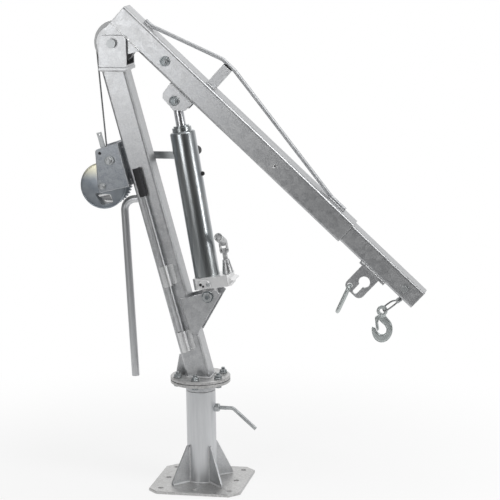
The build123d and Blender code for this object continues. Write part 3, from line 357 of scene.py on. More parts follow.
ownFinish = {"jackCasting": ("jack_base",),
             "pumpZinc": ("pump_column", "pump_plunger", "pump_socket"),
             "galvanisedPlate": ("base_plate", "lower_flange", "mast_flange"),
             "winchPlate": ("winch_frame",),
             "drumZinc": ("winch_drum", "drum_gear"),
             "drawnTube": ("base_pipe", "turning_handle"),
             "trussZinc": ("truss_rod",),
             "squareTube": ("mast", "outer_boom", "inner_boom"),
             "weldBead": ("handle_clip_lower", "handle_clip_upper"),
             "forgedZinc": ("hook", "hook_latch", "load_link")}
special = {node: skin for skin, group in ownFinish.items() for node in group}
for entry in frame["record"]["subparts"]:
    piece = nodes[entry["node"]]
    piece.data.materials.clear()
    piece.data.materials.append(finishes[special.get(entry["node"], entry["material_slot"])])
print("finishes on every node")


# node trees for what repeats
def openTree(name, inputs):
    tree = bpy.data.node_groups.new(name, "GeometryNodeTree")
    tree.interface.new_socket("Geometry", in_out="INPUT", socket_type="NodeSocketGeometry")
    for label, (kind, value) in inputs.items():
        socket = tree.interface.new_socket(label, in_out="INPUT", socket_type="NodeSocket" + kind)
        if value is not None:
            socket.default_value = value
    tree.interface.new_socket("Material", in_out="INPUT", socket_type="NodeSocketMaterial")
    tree.interface.new_socket("Geometry", in_out="OUTPUT", socket_type="NodeSocketGeometry")
    graph = Graph(tree)
    return graph, graph.add("NodeGroupInput")


def join(graph, *shapes):
    joined = graph.add("GeometryNodeJoinGeometry")
    for shape in shapes:
        graph.tree.links.new(shape.socket, joined.node.inputs[0])
    return joined


def closeTree(graph, given, geometry):
    whole = graph.add("GeometryNodeRealizeInstances", None, {0: geometry})
    coated = graph.add("GeometryNodeSetMaterial", None,
                       {"Geometry": whole, "Material": given.out("Material")})
    graph.add("NodeGroupOutput", None, {0: coated})
    return graph.tree


def settle(name, mesh, body):
    mesh.name = name
    piece = bpy.data.objects.new(name, mesh)
    bpy.context.scene.collection.objects.link(piece)
    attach(piece, body)
    return piece


def grow(name, data, tree, values, body):
    seed = bpy.data.objects.new(name + "Seed", data)
    bpy.context.scene.collection.objects.link(seed)
    modifier = seed.modifiers.new("grow", "NODES")
    modifier.node_group = tree
    sockets = {item.name: item.identifier for item in tree.interface.items_tree if item.in_out == "INPUT"}
    for label, value in values.items():
        modifier[sockets[label]] = value
    mesh = bpy.data.meshes.new_from_object(seed.evaluated_get(bpy.context.evaluated_depsgraph_get()))
    bpy.data.objects.remove(seed)
    return settle(name, mesh, body)


# hexagon heads with washer and stud end, each 1 wide and 1 tall before it is scaled
headSet = {"chamfer": 0.16, "corner": 0.5774, "crown": 0.49, "washerSides": 32, "studSides": 20,
           "studTip": 0.44}
fastenerKeys = ("flats", "tall", "ring", "ringTall", "stem", "reach", "twist")


def hexagonTree(s):
    graph, given = openTree("hexFasteners", {"Chamfer": ("Float", s["chamfer"])})

    def attribute(name, kind="FLOAT"):
        return graph.add("GeometryNodeInputNamedAttribute", {"data_type": kind}, {"Name": name})

    def lifted(shape, rise):
        return graph.add("GeometryNodeTransform", None, {"Geometry": shape, "Translation": rise})

    def scatter(shape, wide, tall, lift=None):
        size = graph.add("ShaderNodeCombineXYZ", None, {0: wide, 1: wide, 2: tall})
        placed = graph.add("GeometryNodeInstanceOnPoints", None,
                           {"Points": given, "Instance": shape, "Rotation": turned, "Scale": size})
        if lift is None:
            return placed
        shift = graph.add("ShaderNodeCombineXYZ", None, {2: lift})
        return graph.add("GeometryNodeTranslateInstances", None, {0: placed, "Translation": shift})

    facing = graph.add("FunctionNodeAlignRotationToVector", {"axis": "Z"},
                       {"Vector": attribute("way", "FLOAT_VECTOR")})
    twist = graph.add("FunctionNodeAxisAngleToRotation", None,
                      {"Axis": (0, 0, 1), "Angle": attribute("twist")})
    turned = graph.add("FunctionNodeRotateRotation", {"rotation_space": "LOCAL"}, {0: facing, 1: twist})
    flat = 1 - given.out("Chamfer")
    prism = graph.add("GeometryNodeMeshCylinder", None, {"Vertices": 6, "Radius": s["corner"], "Depth": flat})
    prism = lifted(prism, graph.add("ShaderNodeCombineXYZ", None, {2: flat * 0.5}))
    crown = graph.add("GeometryNodeMeshCone", None,
                      {"Vertices": 6, "Radius Top": s["crown"], "Radius Bottom": s["corner"],
                       "Depth": given.out("Chamfer")})
    crown = lifted(crown, graph.add("ShaderNodeCombineXYZ", None, {2: flat}))
    head = join(graph, prism, crown)
    washer = graph.add("GeometryNodeMeshCylinder", None,
                       {"Vertices": s["washerSides"], "Radius": 0.5, "Depth": 1.0})
    washer = lifted(washer, (0, 0, 0.5))
    stud = graph.add("GeometryNodeMeshCone", None,
                     {"Vertices": s["studSides"], "Radius Top": s["studTip"], "Radius Bottom": 0.5,
                      "Depth": 1.0})
    ringTall = attribute("ringTall")
    everything = join(graph, scatter(head, attribute("flats"), attribute("tall"), ringTall),
                      scatter(washer, attribute("ring"), ringTall),
                      scatter(stud, attribute("stem"), attribute("reach")))
    return closeTree(graph, given, everything)


hexTree = hexagonTree(headSet)


def fasteners(name, body, rows, skin="zinc_hardware"):
    mesh = bpy.data.meshes.new(name + "Points")
    mesh.from_pydata([row["at"] for row in rows], [], [])
    ways = mesh.attributes.new("way", "FLOAT_VECTOR", "POINT")
    for index, row in enumerate(rows):
        ways.data[index].vector = Vector(row["way"])
    for key in fastenerKeys:
        layer = mesh.attributes.new(key, "FLOAT", "POINT")
        for index, row in enumerate(rows):
            value = row.get(key, 0.0)
            layer.data[index].value = value if key == "twist" else value / 1000
    grow(name, mesh, hexTree, {"Material": finishes[skin]}, body)


near = (0, -1, 0)
washerOnly = {"flats": 0, "tall": 0, "stem": 0, "reach": 0}


def onFace(side, s, y=0.0, way=near):  # one fastener, facing the viewer or another way
    return dict(s, at=spot(side, *s["spot"], y), way=way)


def bothSides(middle, s):  # one fastener on the near face and one on the far face
    return [dict(s, at=middle + Vector((0, sign * s["y"] / 1000, 0)), way=(0, sign, 0)) for sign in (-1, 1)]


# bolts of the swivel flange, and the jack's foot pin
flangeSet = {"ringRadius": 0.072, "count": 6, "start": 30.0, "low": 0.315, "high": 0.335,
             "bolt": {"flats": 19, "tall": 8, "ring": 25, "ringTall": 2.5, "stem": 12}, "boltTwist": 0.9,
             "nut": {"tall": 10, "reach": 17}, "nutTwist": 1.7}
footPinSet = {"y": 41, "flats": 22, "tall": 2, "ring": 36, "ringTall": 2.5, "stem": 16, "reach": 13}


def flangeRows(s):
    rows = []
    for step in range(s["count"]):
        angle = math.radians(s["start"] + step * 360 / s["count"])
        x, y = s["ringRadius"] * math.cos(angle), s["ringRadius"] * math.sin(angle)
        nut = dict(s["bolt"], **s["nut"])
        rows.append(dict(s["bolt"], at=(x, y, s["low"]), way=(0, 0, -1), twist=step * s["boltTwist"]))
        rows.append(dict(nut, at=(x, y, s["high"]), way=(0, 0, 1), twist=step * s["nutTwist"]))
    return rows


fasteners("flangeBolts", "column", flangeRows(flangeSet) + bothSides(jackFrame["at"], footPinSet), "boltZinc")

# fasteners of the winch, the lock, the jib and the crank
winchSet = {"y": 57, "flats": 14, "tall": 8, "ring": 22, "ringTall": 2.2, "stem": 9, "reach": 12,
            "twist": 0.4, "nutRing": 18, "nutRingTall": 2.6}
winchRows = bothSides(drumAxle, winchSet)
fasteners("winchWashers", "column", [dict(row, **washerOnly) for row in winchRows], "boltZinc")
fasteners("winchNuts", "column",
          [dict(row, ring=winchSet["nutRing"], ringTall=winchSet["nutRingTall"]) for row in winchRows])
lockNutSet = {"at": (0.043, 0, 0.235), "way": (1, 0, 0), "flats": 24, "tall": 14, "twist": 0.3}
fasteners("lockNut", "base", [lockNutSet])
earBoltSet = {"spot": (246, 0), "y": 30, "flats": 24, "tall": 9, "ring": 30, "ringTall": 2.5, "stem": 16,
              "reach": 14, "twist": 0.5}
keeperBoltSet = {"y": 35, "flats": 20, "tall": 10, "ring": 31, "ringTall": 3, "stem": 12, "reach": 18,
                 "twist": 0.8}
keeperLow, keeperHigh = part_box("cable_keeper")
keeperMiddle = Vector(((keeperLow[0] + keeperHigh[0]) / 2, 0, (keeperLow[2] + keeperHigh[2]) / 2))
earRows = bothSides(spot(jibFrame, *earBoltSet["spot"]), earBoltSet)
fasteners("jibBolts", "jib", earRows + bothSides(keeperMiddle, keeperBoltSet), "boltZinc")
crankNutSet = {"spot": (-78, 698), "y": -58, "flats": 17, "tall": 8, "ring": 25, "ringTall": 3.4, "stem": 10,
               "reach": 13, "twist": 0.35, "washer": 29, "washerTall": 3.0}
crankRow = onFace(mastFrame, crankNutSet, crankNutSet["y"])
crankWasherRow = dict(crankRow, **washerOnly, ring=crankNutSet["washer"], ringTall=crankNutSet["washerTall"])
fasteners("crankWasher", "crank", [crankWasherRow], "boltZinc")
fasteners("crankNut", "crank", [crankRow])
pawlRivetSet = {"spot": (-101, 725), "y": 57, "ring": 9, "ringTall": 0.8, "stem": 5, "reach": 2}
pawlRows = bothSides(spot(mastFrame, *pawlRivetSet["spot"]), pawlRivetSet)
fasteners("pawlRivets", "column", pawlRows, "black_plastic")
stopScrewSet = {"spot": (591, 68), "y": 31.4, "ring": 12.6, "ringTall": 2.9, "socket": 5.5, "socketTall": 3.1}
stopRows = bothSides(spot(jibFrame, *stopScrewSet["spot"]), stopScrewSet)
# dark disc in each stop screw: painted shade in its socket recess
socketShadeRows = [dict(row, ring=row["socket"], ringTall=row["socketTall"]) for row in stopRows]
fasteners("stopScrews", "jib", stopRows, "weldBead")
fasteners("screwSockets", "jib", socketShadeRows, "black_plastic")
print("fasteners made")


# small pressings and castings: flat outlines in a side frame with a thickness across the jib
def closeMesh(work, name, skin):
    mesh = bpy.data.meshes.new(name)
    work.to_mesh(mesh)
    work.free()
    mesh.materials.append(finishes[skin])
    return mesh


def pressing(name, body, side, rows, skin, soft=0.0012):
    work = bmesh.new()
    for outline, y0, y1 in rows:
        face = work.faces.new([work.verts.new(spot(side, a, b, y0)) for a, b in outline])
        grown = bmesh.ops.extrude_face_region(work, geom=[face])["geom"]
        for corner in (item for item in grown if isinstance(item, bmesh.types.BMVert)):
            corner.co.y += (y1 - y0) / 1000
    bmesh.ops.recalc_face_normals(work, faces=work.faces[:])
    bmesh.ops.bevel(work, geom=work.edges[:], offset=soft, segments=2, affect="EDGES", profile=0.5,
                    clamp_overlap=True)
    settle(name, closeMesh(work, name, skin), body)


def arch(a, b, radius, foot, steps=14):
    turns = [math.pi * step / steps for step in range(steps + 1)]
    crown = [(a + radius * math.cos(t), b + radius * math.sin(t)) for t in turns]
    return [(a + radius, foot)] + crown + [(a - radius, foot)]


# valve boss and toe on the jack's base, with the plugs of the jack
valveSet = {"at": (-4, 33), "radius": 20, "foot": 26, "face": -40, "proud": 6, "soft": 0.002,
            "sockets": ((-14, 39, 9), (-7, 33, 7)), "socketTall": 0.5}
toeSet = {"outline": [(62, 27), (71, 24.5), (88, 37), (74, 45)], "half": 38, "soft": 0.002}
releaseSet = {"spot": (9, 37), "flats": 10, "tall": 5, "ring": 13, "ringTall": 2, "stem": 6, "reach": 9,
              "twist": 0.2}
fillerSet = {"spot": (36.5, 361), "ring": 13, "ringTall": 5, "stem": 10, "reach": 8}
bossFace = valveSet["face"] - valveSet["proud"]
bossLine = arch(*valveSet["at"], valveSet["radius"], valveSet["foot"])
pressing("valveBoss", "jack", jackFrame, [(bossLine, valveSet["face"], bossFace)], "jackCasting",
         valveSet["soft"])
pressing("baseToe", "jack", jackFrame, [(toeSet["outline"], -toeSet["half"], toeSet["half"])], "jackCasting",
         toeSet["soft"])
# dark discs on the valve boss: painted shade in its socket recesses
valveSocketShadeRows = [onFace(jackFrame, {"spot": (a, b), "ring": wide, "ringTall": valveSet["socketTall"]}, bossFace)
             for a, b, wide in valveSet["sockets"]]
fasteners("valveSockets", "jack", valveSocketShadeRows, "black_plastic")
fasteners("releaseValve", "jack", [onFace(jackFrame, releaseSet, bossFace)])
fasteners("fillerPlug", "jack", [onFace(jackFrame, fillerSet, way=jackFrame["along"])], "black_rubber")

# turned jack cylinder with its gland collar
barrelSet = {"radius": 37.5, "foot": 57, "top": 511, "bore": 15.4, "collar": 28.5, "collarRise": 17,
             "lip": 23.5, "lipRise": 5, "round": 7, "roundSteps": 6, "steps": 72, "sharp": 40}


def barrel(s):
    shoulder, ledge, bend = s["top"] - s["collarRise"], s["top"] - s["lipRise"], s["round"]
    turns = [math.pi / 2 * step / s["roundSteps"] for step in range(s["roundSteps"] + 1)]
    outline = [(s["bore"], s["foot"]), (s["radius"], s["foot"])]
    outline += [(s["radius"] - bend * (1 - math.cos(t)), shoulder - bend * (1 - math.sin(t))) for t in turns]
    outline += [(s["collar"], shoulder), (s["collar"], ledge), (s["lip"], ledge), (s["lip"], s["top"]),
                (s["bore"], s["top"])]
    work = bmesh.new()
    rings = []
    for turn in roundTurns(s["steps"]):
        places = [spot(jackFrame, r * math.cos(turn), h, r * math.sin(turn)) for r, h in outline]
        rings.append([work.verts.new(place) for place in places])
    for one, other in zip(rings, rings[1:] + rings[:1]):
        for low in range(len(outline)):
            high = (low + 1) % len(outline)
            work.faces.new((one[low], one[high], other[high], other[low]))
    bmesh.ops.recalc_face_normals(work, faces=work.faces[:])
    mesh = closeMesh(work, "jackBarrel", "bright_zinc")
    mesh.shade_smooth()
    mesh.set_sharp_from_angle(angle=math.radians(s["sharp"]))
    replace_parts(settle("jackBarrel", mesh, "jack"), "jack_cylinder")


barrel(barrelSet)

# tabs of the handle clips, and the rope clamp and web of the drum
clipSet = {"lows": (90, 294), "tall": 59, "tab": (2, 18), "tabBack": -34.8, "tabFront": -38,
           "tabSoft": 0.0008, "seams": (-17, -1), "seamFace": -36}
clampSet = {"front": -43.5, "back": -34, "outlines": ([(-146, 606), (-110, 604), (-109, 598), (-142, 599)],
                                                      [(-113, 604), (-104, 604), (-96, 575), (-104, 573)],
                                                      [(-132, 588), (-104, 579), (-102, 573), (-128, 580)])}
webSet = {"outline": [(-168, 622), (-163, 590), (-147, 570.5), (-118, 565.5), (-100, 569), (-103, 602)],
          "front": -21, "back": -19}
tabLeft, tabRight = clipSet["tab"]
tabRows = []
for low in clipSet["lows"]:
    high = low + clipSet["tall"]
    tab = [(tabLeft, low), (tabRight, low), (tabRight, high), (tabLeft, high)]
    tabRows.append((tab, clipSet["tabBack"], clipSet["tabFront"]))
clampRows = [(outline, clampSet["front"], clampSet["back"]) for outline in clampSet["outlines"]]
webRows = [(webSet["outline"], webSet["front"], webSet["back"])]
pressing("clipTabs", "column", mastFrame, tabRows, "weldBead", clipSet["tabSoft"])
pressing("ropeClamp", "drum", mastFrame, clampRows, "jackCasting")
pressing("drumWeb", "drum", mastFrame, webRows, "wire_rope")
print("jack and drum fittings made")

# screw thread: a fine wire wound on the lock's shank
lockThreadSet = {"Radius": 0.0055, "Turns": 13.0, "Long": 0.023, "Wire": 0.0007, "Start": (0.0585, 0, 0.235),
                 "Turn": (0, math.pi / 2, 0)}


def threadTree():
    graph, given = openTree("screwThread", {"Radius": ("Float", 0.005), "Turns": ("Float", 12.0),
                                            "Long": ("Float", 0.02), "Wire": ("Float", 0.0006),
                                            "Start": ("Vector", None), "Turn": ("Vector", None)})
    line = graph.add("GeometryNodeCurveSpiral", None,
                     {"Resolution": 20, "Rotations": given.out("Turns"), "Start Radius": given.out("Radius"),
                      "End Radius": given.out("Radius"), "Height": given.out("Long")})
    ring = graph.add("GeometryNodeCurvePrimitiveCircle", {"mode": "RADIUS"},
                     {"Resolution": 5, "Radius": given.out("Wire")})
    skin = graph.add("GeometryNodeCurveToMesh", None,
                     {"Curve": line, "Profile Curve": ring, "Fill Caps": True})
    placed = graph.add("GeometryNodeTransform", None, {"Geometry": skin, "Translation": given.out("Start"),
                                                       "Rotation": given.out("Turn")})
    return closeTree(graph, given, placed)


grow("lockThread", bpy.data.meshes.new("lockThreadSeed"), threadTree(),
     dict(lockThreadSet, Material=finishes["zinc_hardware"]), "lock_handle")
print("thread cut")

# weld seams: rippled fillets along the joints of the steel
beadSet = {"size": 0.003, "ripple": 0.004, "step": 0.0012, "wave": 0.10, "drift": 0.3, "driftScale": 60.0,
           "sides": 8}


def weldTree(s):
    graph, given = openTree("weldSeams", {"Size": ("Float", s["size"]), "Ripple": ("Float", s["ripple"]),
                                          "Step": ("Float", s["step"]), "Uneven": ("Float", 1.0)})
    path = graph.add("GeometryNodeResampleCurve", {"mode": "LENGTH"},
                     {"Curve": given, "Length": given.out("Step")})
    run = graph.add("GeometryNodeSplineParameter").out("Length")
    wave = graph.add("ShaderNodeMath", {"operation": "SINE"}, {0: run * fullTurn / given.out("Ripple")})
    drift = graph.noise(graph.add("GeometryNodeInputPosition"), s["driftScale"])
    ragged = wave * s["wave"] + drift * s["drift"] - s["drift"] / 2
    swell = given.out("Size") * (1 + ragged * given.out("Uneven"))
    sized = graph.add("GeometryNodeSetCurveRadius", None, {"Curve": path, "Radius": swell})
    ring = graph.add("GeometryNodeCurvePrimitiveCircle", {"mode": "RADIUS"},
                     {"Resolution": s["sides"], "Radius": 1.0})
    skin = graph.add("GeometryNodeCurveToMesh", None,
                     {"Curve": sized, "Profile Curve": ring, "Scale": swell, "Fill Caps": True})
    smooth = graph.add("GeometryNodeSetShadeSmooth", None, {0: skin})
    return closeTree(graph, given, smooth)


seamTree = weldTree(beadSet)


def newCurve(name, kind, lines):
    data = bpy.data.curves.new(name, "CURVE")
    data.dimensions = "3D"
    for points, closed in lines:
        spline = data.splines.new(kind)
        spline.points.add(len(points) - 1)
        spline.use_cyclic_u = closed
        for point, place in zip(spline.points, points):
            point.co = (*place, 1)
    return data


def seams(name, body, paths, size=beadSet["size"], uneven=1.0, skin="weldBead"):
    values = {"Size": size, "Uneven": uneven, "Material": finishes[skin]}
    grow(name, newCurve(name + "Paths", "POLY", paths), seamTree, values, body)


def ringPath(radius, z, steps=48):
    return [Vector((radius * math.cos(t), radius * math.sin(t), z)) for t in roundTurns(steps)], True


def squarePath(centre, halfX, halfY, z):
    signs = ((-1, -1), (1, -1), (1, 1), (-1, 1))
    return [Vector((centre + sx * halfX, sy * halfY, z)) for sx, sy in signs], True


def jibRun(run, up, y):
    return [spot(jibFrame, s, up, y) for s in run], False


# foot of the post, and both sides of its four ribs
pipeRadius = 0.04445
baseWeldSet = {"low": 0.0085, "quarters": (-45, 45, 135, -135), "ribHalf": 0.003, "ribTop": 0.119,
               "ribFoot": 0.010, "ribReach": 0.106, "size": 0.0034, "uneven": 3.0}


def baseSeams(s):
    paths = [ringPath(pipeRadius, s["low"])]
    for quarter in s["quarters"]:
        turn = Matrix.Rotation(math.radians(quarter), 3, "Z")
        for side in (-s["ribHalf"], s["ribHalf"]):
            rib = ((pipeRadius, s["ribTop"]), (pipeRadius, s["ribFoot"]), (s["ribReach"], s["low"]))
            paths.append(([turn @ Vector((x, side, z)) for x, z in rib], False))
    return paths


seams("baseWelds", "base", baseSeams(baseWeldSet), baseWeldSet["size"], baseWeldSet["uneven"])

# ends of the mast, swivel spigot, jack bracket, heel plate and handle clips
columnWeldSet = {"foot": 0.336, "head": 1.253, "spigot": 0.3145, "bracket": ((0.470, 0.474), (0.581, 0.576)),
                 "bracketIn": 0.022, "bracketY": 35.5, "heel": (0.340, 0.396), "heelY": 4.5}
tubeHalf = mastSet["half"] / math.cos(mastLean)


def mastX(z):
    return mastSet["foot"][0] - (z - mastSet["foot"][2]) * math.tan(mastLean)


def columnSeams(s):
    paths = [squarePath(mastX(z), tubeHalf, mastSet["half"], z) for z in (s["foot"], s["head"])]
    paths.append(ringPath(pipeRadius, s["spigot"]))
    for y in (-s["bracketY"], s["bracketY"]):
        lap = [Vector((mastX(a) + tubeHalf - s["bracketIn"], y / 1000, b)) for a, b in s["bracket"]]
        paths.append((lap, False))
    for y in (-s["heelY"], s["heelY"]):
        paths.append(([Vector((mastX(z) - tubeHalf, y / 1000, z)) for z in s["heel"]], False))
    for low in clipSet["lows"]:
        for offset in clipSet["seams"]:
            ends = (low, low + clipSet["tall"])
            paths.append(([spot(mastFrame, offset, t, clipSet["seamFace"]) for t in ends], False))
    return paths


seams("columnWelds", "column", columnSeams(columnWeldSet))

# truss post and rod ends on the jib, and the jack ears under it
jibWeldSet = {"post": ((279, -15), (309, -15), (309, 15), (279, 15)), "postUp": 103.5,
              "rods": ((25, 55), (770, 824)), "rodUp": 104.5, "rodY": 5, "ear": (204, 288), "earUp": 32.5,
              "earY": 30, "size": 0.0025}


def jibSeams(s):
    paths = [([spot(jibFrame, a, s["postUp"], y) for a, y in s["post"]], True)]
    for y in (-s["rodY"], s["rodY"]):
        paths += [jibRun(run, s["rodUp"], y) for run in s["rods"]]
    return paths + [jibRun(s["ear"], s["earUp"], y) for y in (-s["earY"], s["earY"])]


seams("jibWelds", "jib", jibSeams(jibWeldSet), jibWeldSet["size"])

# strip and load plate under the jib's tip
tipWeldSet = {"strip": (964, 1055), "stripUp": 38, "stripY": 29.5, "plate": (976, 1038), "plateUp": 31,
              "plateY": 5, "size": 0.0025}
tipSeams = [jibRun(tipWeldSet[part], tipWeldSet[part + "Up"], sign * tipWeldSet[part + "Y"])
            for part in ("strip", "plate") for sign in (-1, 1)]
seams("tipWelds", "extension", tipSeams, tipWeldSet["size"])

# black bead in the groove between the flanges, a painted shadow, and the rolled rim of the drum
grooveShadeSet = {"inset": 0.0012, "size": 0.0013}
rimSet = {"radius": 67, "y": -46, "steps": 72, "size": 0.0025}
flangeLow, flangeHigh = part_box("mast_flange")
grooveShadeRing = ringPath((flangeHigh[0] - flangeLow[0]) / 2 - grooveShadeSet["inset"], flangeLow[2])
seams("flangeJoint", "column", [grooveShadeRing], grooveShadeSet["size"], 0.0, "black_rubber")
drumRim = [spot(mastFrame, drumAt[0] + rimSet["radius"] * math.cos(t),
                drumAt[1] + rimSet["radius"] * math.sin(t), rimSet["y"]) for t in roundTurns(rimSet["steps"])]
seams("drumRim", "drum", [(drumRim, True)], rimSet["size"], 0.0, "drumZinc")
print("welds and rims made")

# wire rope: six strands laid round the line of the cable
strandSet = {"radius": 0.0025, "strands": 6, "lay": 0.03, "step": 0.0015, "round": 36, "core": 0.76,
             "lobe": 0.24}


def ropeTree(s):
    graph, given = openTree("wireRope", {"Radius": ("Float", s["radius"]), "Strands": ("Int", s["strands"]),
                                         "Lay": ("Float", s["lay"]), "Step": ("Float", s["step"])})
    path = graph.add("GeometryNodeResampleCurve", {"mode": "LENGTH"},
                     {"Curve": given, "Length": given.out("Step")})
    run = graph.add("GeometryNodeSplineParameter").out("Length")
    laid = graph.add("GeometryNodeSetCurveTilt", None,
                     {"Curve": path, "Tilt": run * fullTurn / given.out("Lay")})
    star = graph.add("GeometryNodeCurvePrimitiveCircle", {"mode": "RADIUS"},
                     {"Resolution": s["round"], "Radius": 1.0})
    share = graph.add("GeometryNodeSplineParameter").out("Factor")
    lobe = graph.add("ShaderNodeMath", {"operation": "SINE"}, {0: share * given.out("Strands") * halfTurn})
    lobe = graph.add("ShaderNodeMath", {"operation": "ABSOLUTE"}, {0: lobe})
    grown = given.out("Radius") * (s["core"] + lobe * s["lobe"])
    spread = graph.add("ShaderNodeVectorMath", {"operation": "SCALE"},
                       {0: graph.add("GeometryNodeInputPosition"), "Scale": grown})
    star = graph.add("GeometryNodeSetPosition", None, {"Geometry": star, "Position": spread})
    skin = graph.add("GeometryNodeCurveToMesh", None,
                     {"Curve": laid, "Profile Curve": star, "Fill Caps": True})
    smooth = graph.add("GeometryNodeSetShadeSmooth", None, {0: skin})
    return closeTree(graph, given, smooth)


layTree = ropeTree(strandSet)


def rope(name, body, route, replaced):
    data = newCurve(name + "Routes", "NURBS", [(route, False)])
    data.resolution_u = 24
    for spline in data.splines:
        spline.order_u = 3
        spline.use_endpoint_u = True
    piece = grow(name, data, layTree, {"Material": finishes["wire_rope"]}, body)
    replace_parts(piece, *replaced)


# lifting rope: from the drum up and over the head sheave
liftRopeSet = {"start": (-0.25454, -0.0295, 0.91399), "shares": (0.5, 0.94), "wrap": 60.7, "touch": 184.6,
               "leave": 46.75, "arcs": 3}


def liftRoute(s):
    touch, leave = math.radians(s["touch"]), math.radians(s["leave"])
    arc = math.radians(s["touch"] - s["leave"]) / s["arcs"]
    outside = s["wrap"] / math.cos(arc / 2) / 1000

    def onSheave(angle, radius):
        return jibFrame["at"] + Vector((math.cos(angle), 0, math.sin(angle))) * radius

    start, first = Vector(s["start"]), onSheave(touch, s["wrap"] / 1000)
    route = [start] + [start.lerp(first, share) for share in s["shares"]]
    route += [onSheave(touch - arc * (step + 0.5), outside) for step in range(s["arcs"])]
    return route + [onSheave(leave, s["wrap"] / 1000)]


rope("liftingRope", "column", liftRoute(liftRopeSet), ["winch_cable"])

# hook rope: round the tip sheave, through the clip and in a loop through the hook's eye
hookRopeSet = {"from": 420, "axle": (1110, 68), "lead": 50, "wrap": 21.7, "leave": 14.0, "arcs": 3,
               "clip": (1120.9, 22.0), "clipLead": 0.004, "eye": (-0.0708, 0, -0.074), "lift": 0.0045,
               "twist": 28.0,  # the loop is in millimetres across and shares of the way up to the clip
               "loop": ((2, 0.95), (15, 0.66), (14, 0.24), (11, 0), (-11, 0), (-11, 0.34), (-9, 0.72),
                        (-5, 0.98), (-5.5, 1.18))}
clipNutSet = {"y": 13, "lift": 0.003, "flats": 10, "tall": 5, "stem": 5, "reach": 8, "twist": 0.3}


def hookRoute(s):
    axleS, axleN = s["axle"]
    bend = math.radians(90 + s["leave"]) / s["arcs"]
    ahead = s["wrap"] * math.tan(bend / 2)
    reach = s["wrap"] / math.cos(bend / 2)
    straight = (s["from"], axleS - s["lead"], axleS - ahead)
    route = [spot(jibFrame, place, axleN + s["wrap"]) for place in straight]
    for step in range(s["arcs"]):
        angle = math.pi / 2 - bend * (step + 0.5)
        route.append(spot(jibFrame, axleS + reach * math.cos(angle), axleN + reach * math.sin(angle)))
    leave = math.radians(s["leave"])
    offS = axleS + s["wrap"] * math.cos(leave) - ahead * math.sin(leave)
    offN = axleN - s["wrap"] * math.sin(leave) - ahead * math.cos(leave)
    clip = spot(jibFrame, *s["clip"])
    eye = spot(jibFrame, *s["axle"]) + Vector(s["eye"])
    hang = (clip - eye).normalized()
    low = eye + hang * s["lift"]
    long = (clip - low).length
    twist = math.radians(s["twist"])
    across = Vector((0, 1, 0)) * math.cos(twist) + hang.cross(Vector((0, 1, 0))) * math.sin(twist)
    route += [spot(jibFrame, offS, offN), clip + hang * s["clipLead"]]
    route += [low + across * (side / 1000) + hang * (long * share) for side, share in s["loop"]]
    return route, clip, hang


hookLine, clipAt, clipWay = hookRoute(hookRopeSet)
rope("hookRope", "extension", hookLine, ["tip_cable"])
fasteners("clipNuts", "extension", bothSides(clipAt + clipWay * clipNutSet["lift"], clipNutSet))
print("rope laid")

# pale floor that fades to white, and keeps the shadow near the crane
floorSet = {"radius": 1.9, "steps": 96, "level": -0.0005, "colour": (0.93, 0.93, 0.93), "glow": 0.80,
            "fadeFrom": 0.45, "fadeTo": 1.5}


def makeFloor(s):
    mesh = bpy.data.meshes.new("floor")
    rim = [(s["radius"] * math.cos(t), s["radius"] * math.sin(t), s["level"]) for t in roundTurns(s["steps"])]
    mesh.from_pydata(rim, [], [tuple(range(s["steps"]))])
    floor = bpy.data.objects.new("floor", mesh)
    bpy.context.scene.collection.objects.link(floor)
    material, graph = newMaterial("paleFloor")
    coords = graph.add("ShaderNodeTexCoord").out("Object")
    away = graph.add("ShaderNodeVectorMath", {"operation": "LENGTH"}, {0: coords}, out="Value")
    fade = graph.fade(away, s["fadeFrom"], s["fadeTo"], s["glow"])
    rays = graph.add("ShaderNodeLightPath")
    matt = graph.add("ShaderNodeBsdfDiffuse", None, {"Color": (*s["colour"], 1)})
    glow = graph.add("ShaderNodeEmission", None, {"Color": (1, 1, 1, 1), "Strength": 1.0})
    seen = rays.out("Is Camera Ray") + rays.out("Is Glossy Ray") + rays.out("Is Transmission Ray")
    both = graph.add("ShaderNodeMixShader", None, {0: fade * seen, 1: matt, 2: glow})
    graph.add("ShaderNodeOutputMaterial", None, {"Surface": both})
    mesh.materials.append(material)


makeFloor(floorSet)

# room: dim in front, paler behind and above, with a white wall behind that the camera and the metal see
worldSet = {"strength": 0.7, "depth": ((0.06, 0.05), (0.2, 0.2), (0.42, 0.30), (0.62, 0.55)),
            "above": ((0.25, 0.0), (0.75, 0.6)), "wall": ((0.55, 0.0), (0.9, 1.0))}


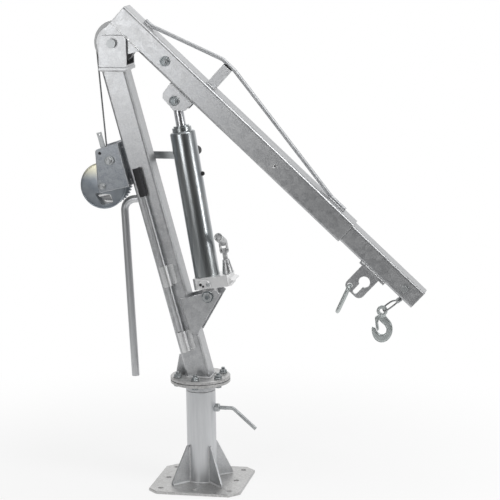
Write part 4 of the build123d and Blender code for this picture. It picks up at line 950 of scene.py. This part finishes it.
def makeWorld(s):
    world = bpy.data.worlds.new("studio")
    bpy.context.scene.world = world
    world.use_nodes = True
    world.node_tree.nodes.clear()
    graph = Graph(world.node_tree)
    way = graph.add("ShaderNodeTexCoord").out("Generated")
    parts = graph.add("ShaderNodeSeparateXYZ", None, {0: way})
    depth = graph.ramp(parts.out("Y") * 0.5 + 0.5, *s["depth"])
    high = graph.ramp(parts.out("Z"), *s["above"])
    shade = depth.maths("MAXIMUM", depth, high)
    rays = graph.add("ShaderNodeLightPath")
    wall = graph.ramp(parts.out("Y"), *s["wall"])
    mirrored = (rays.out("Is Glossy Ray") + rays.out("Is Transmission Ray")) * wall
    seen = mirrored.maths("MAXIMUM", rays.out("Is Camera Ray"), mirrored)
    around = graph.add("ShaderNodeBackground", None, {"Color": shade, "Strength": s["strength"]})
    backdrop = graph.add("ShaderNodeBackground", None, {"Color": (1, 1, 1, 1), "Strength": 1.0})
    both = graph.add("ShaderNodeMixShader", None, {0: seen, 1: around, 2: backdrop})
    graph.add("ShaderNodeOutputWorld", None, {"Surface": both})


makeWorld(worldSet)
lampSet = {"key": {"at": (-0.95, -2.4, 1.25), "to": (-0.25, 0, 1.25), "size": 0.9, "power": 11.5},
           "top": {"at": (0.1, 0.2, 3.2), "to": (0.1, 0, 0.8), "size": 2.2, "power": 13.0},
           "right": {"at": (2.6, -0.75, 1.1), "to": (0.1, 0, 0.7), "size": 0.55, "power": 8.0},
           "corner": {"at": (1.7, -0.75, 2.7), "to": (0.1, 0, 0.8), "size": 1.1, "power": 24.0},
           "back": {"at": (-0.8, 2.6, 1.6), "to": (0, 0, 0.8), "size": 2.0, "power": 5.0}}


def makeLamps(s):
    for name, lamp in s.items():
        light = bpy.data.lights.new(name, "AREA")
        light.size = lamp["size"]
        light.energy = lamp["power"]
        holder = bpy.data.objects.new(name, light)
        holder.location = lamp["at"]
        aim = Vector(lamp["to"]) - Vector(lamp["at"])
        holder.rotation_euler = aim.to_track_quat("-Z", "Y").to_euler()
        bpy.context.scene.collection.objects.link(holder)


makeLamps(lampSet)
bpy.context.scene.view_settings.view_transform = "Standard"
print("floor, world and lamps set")
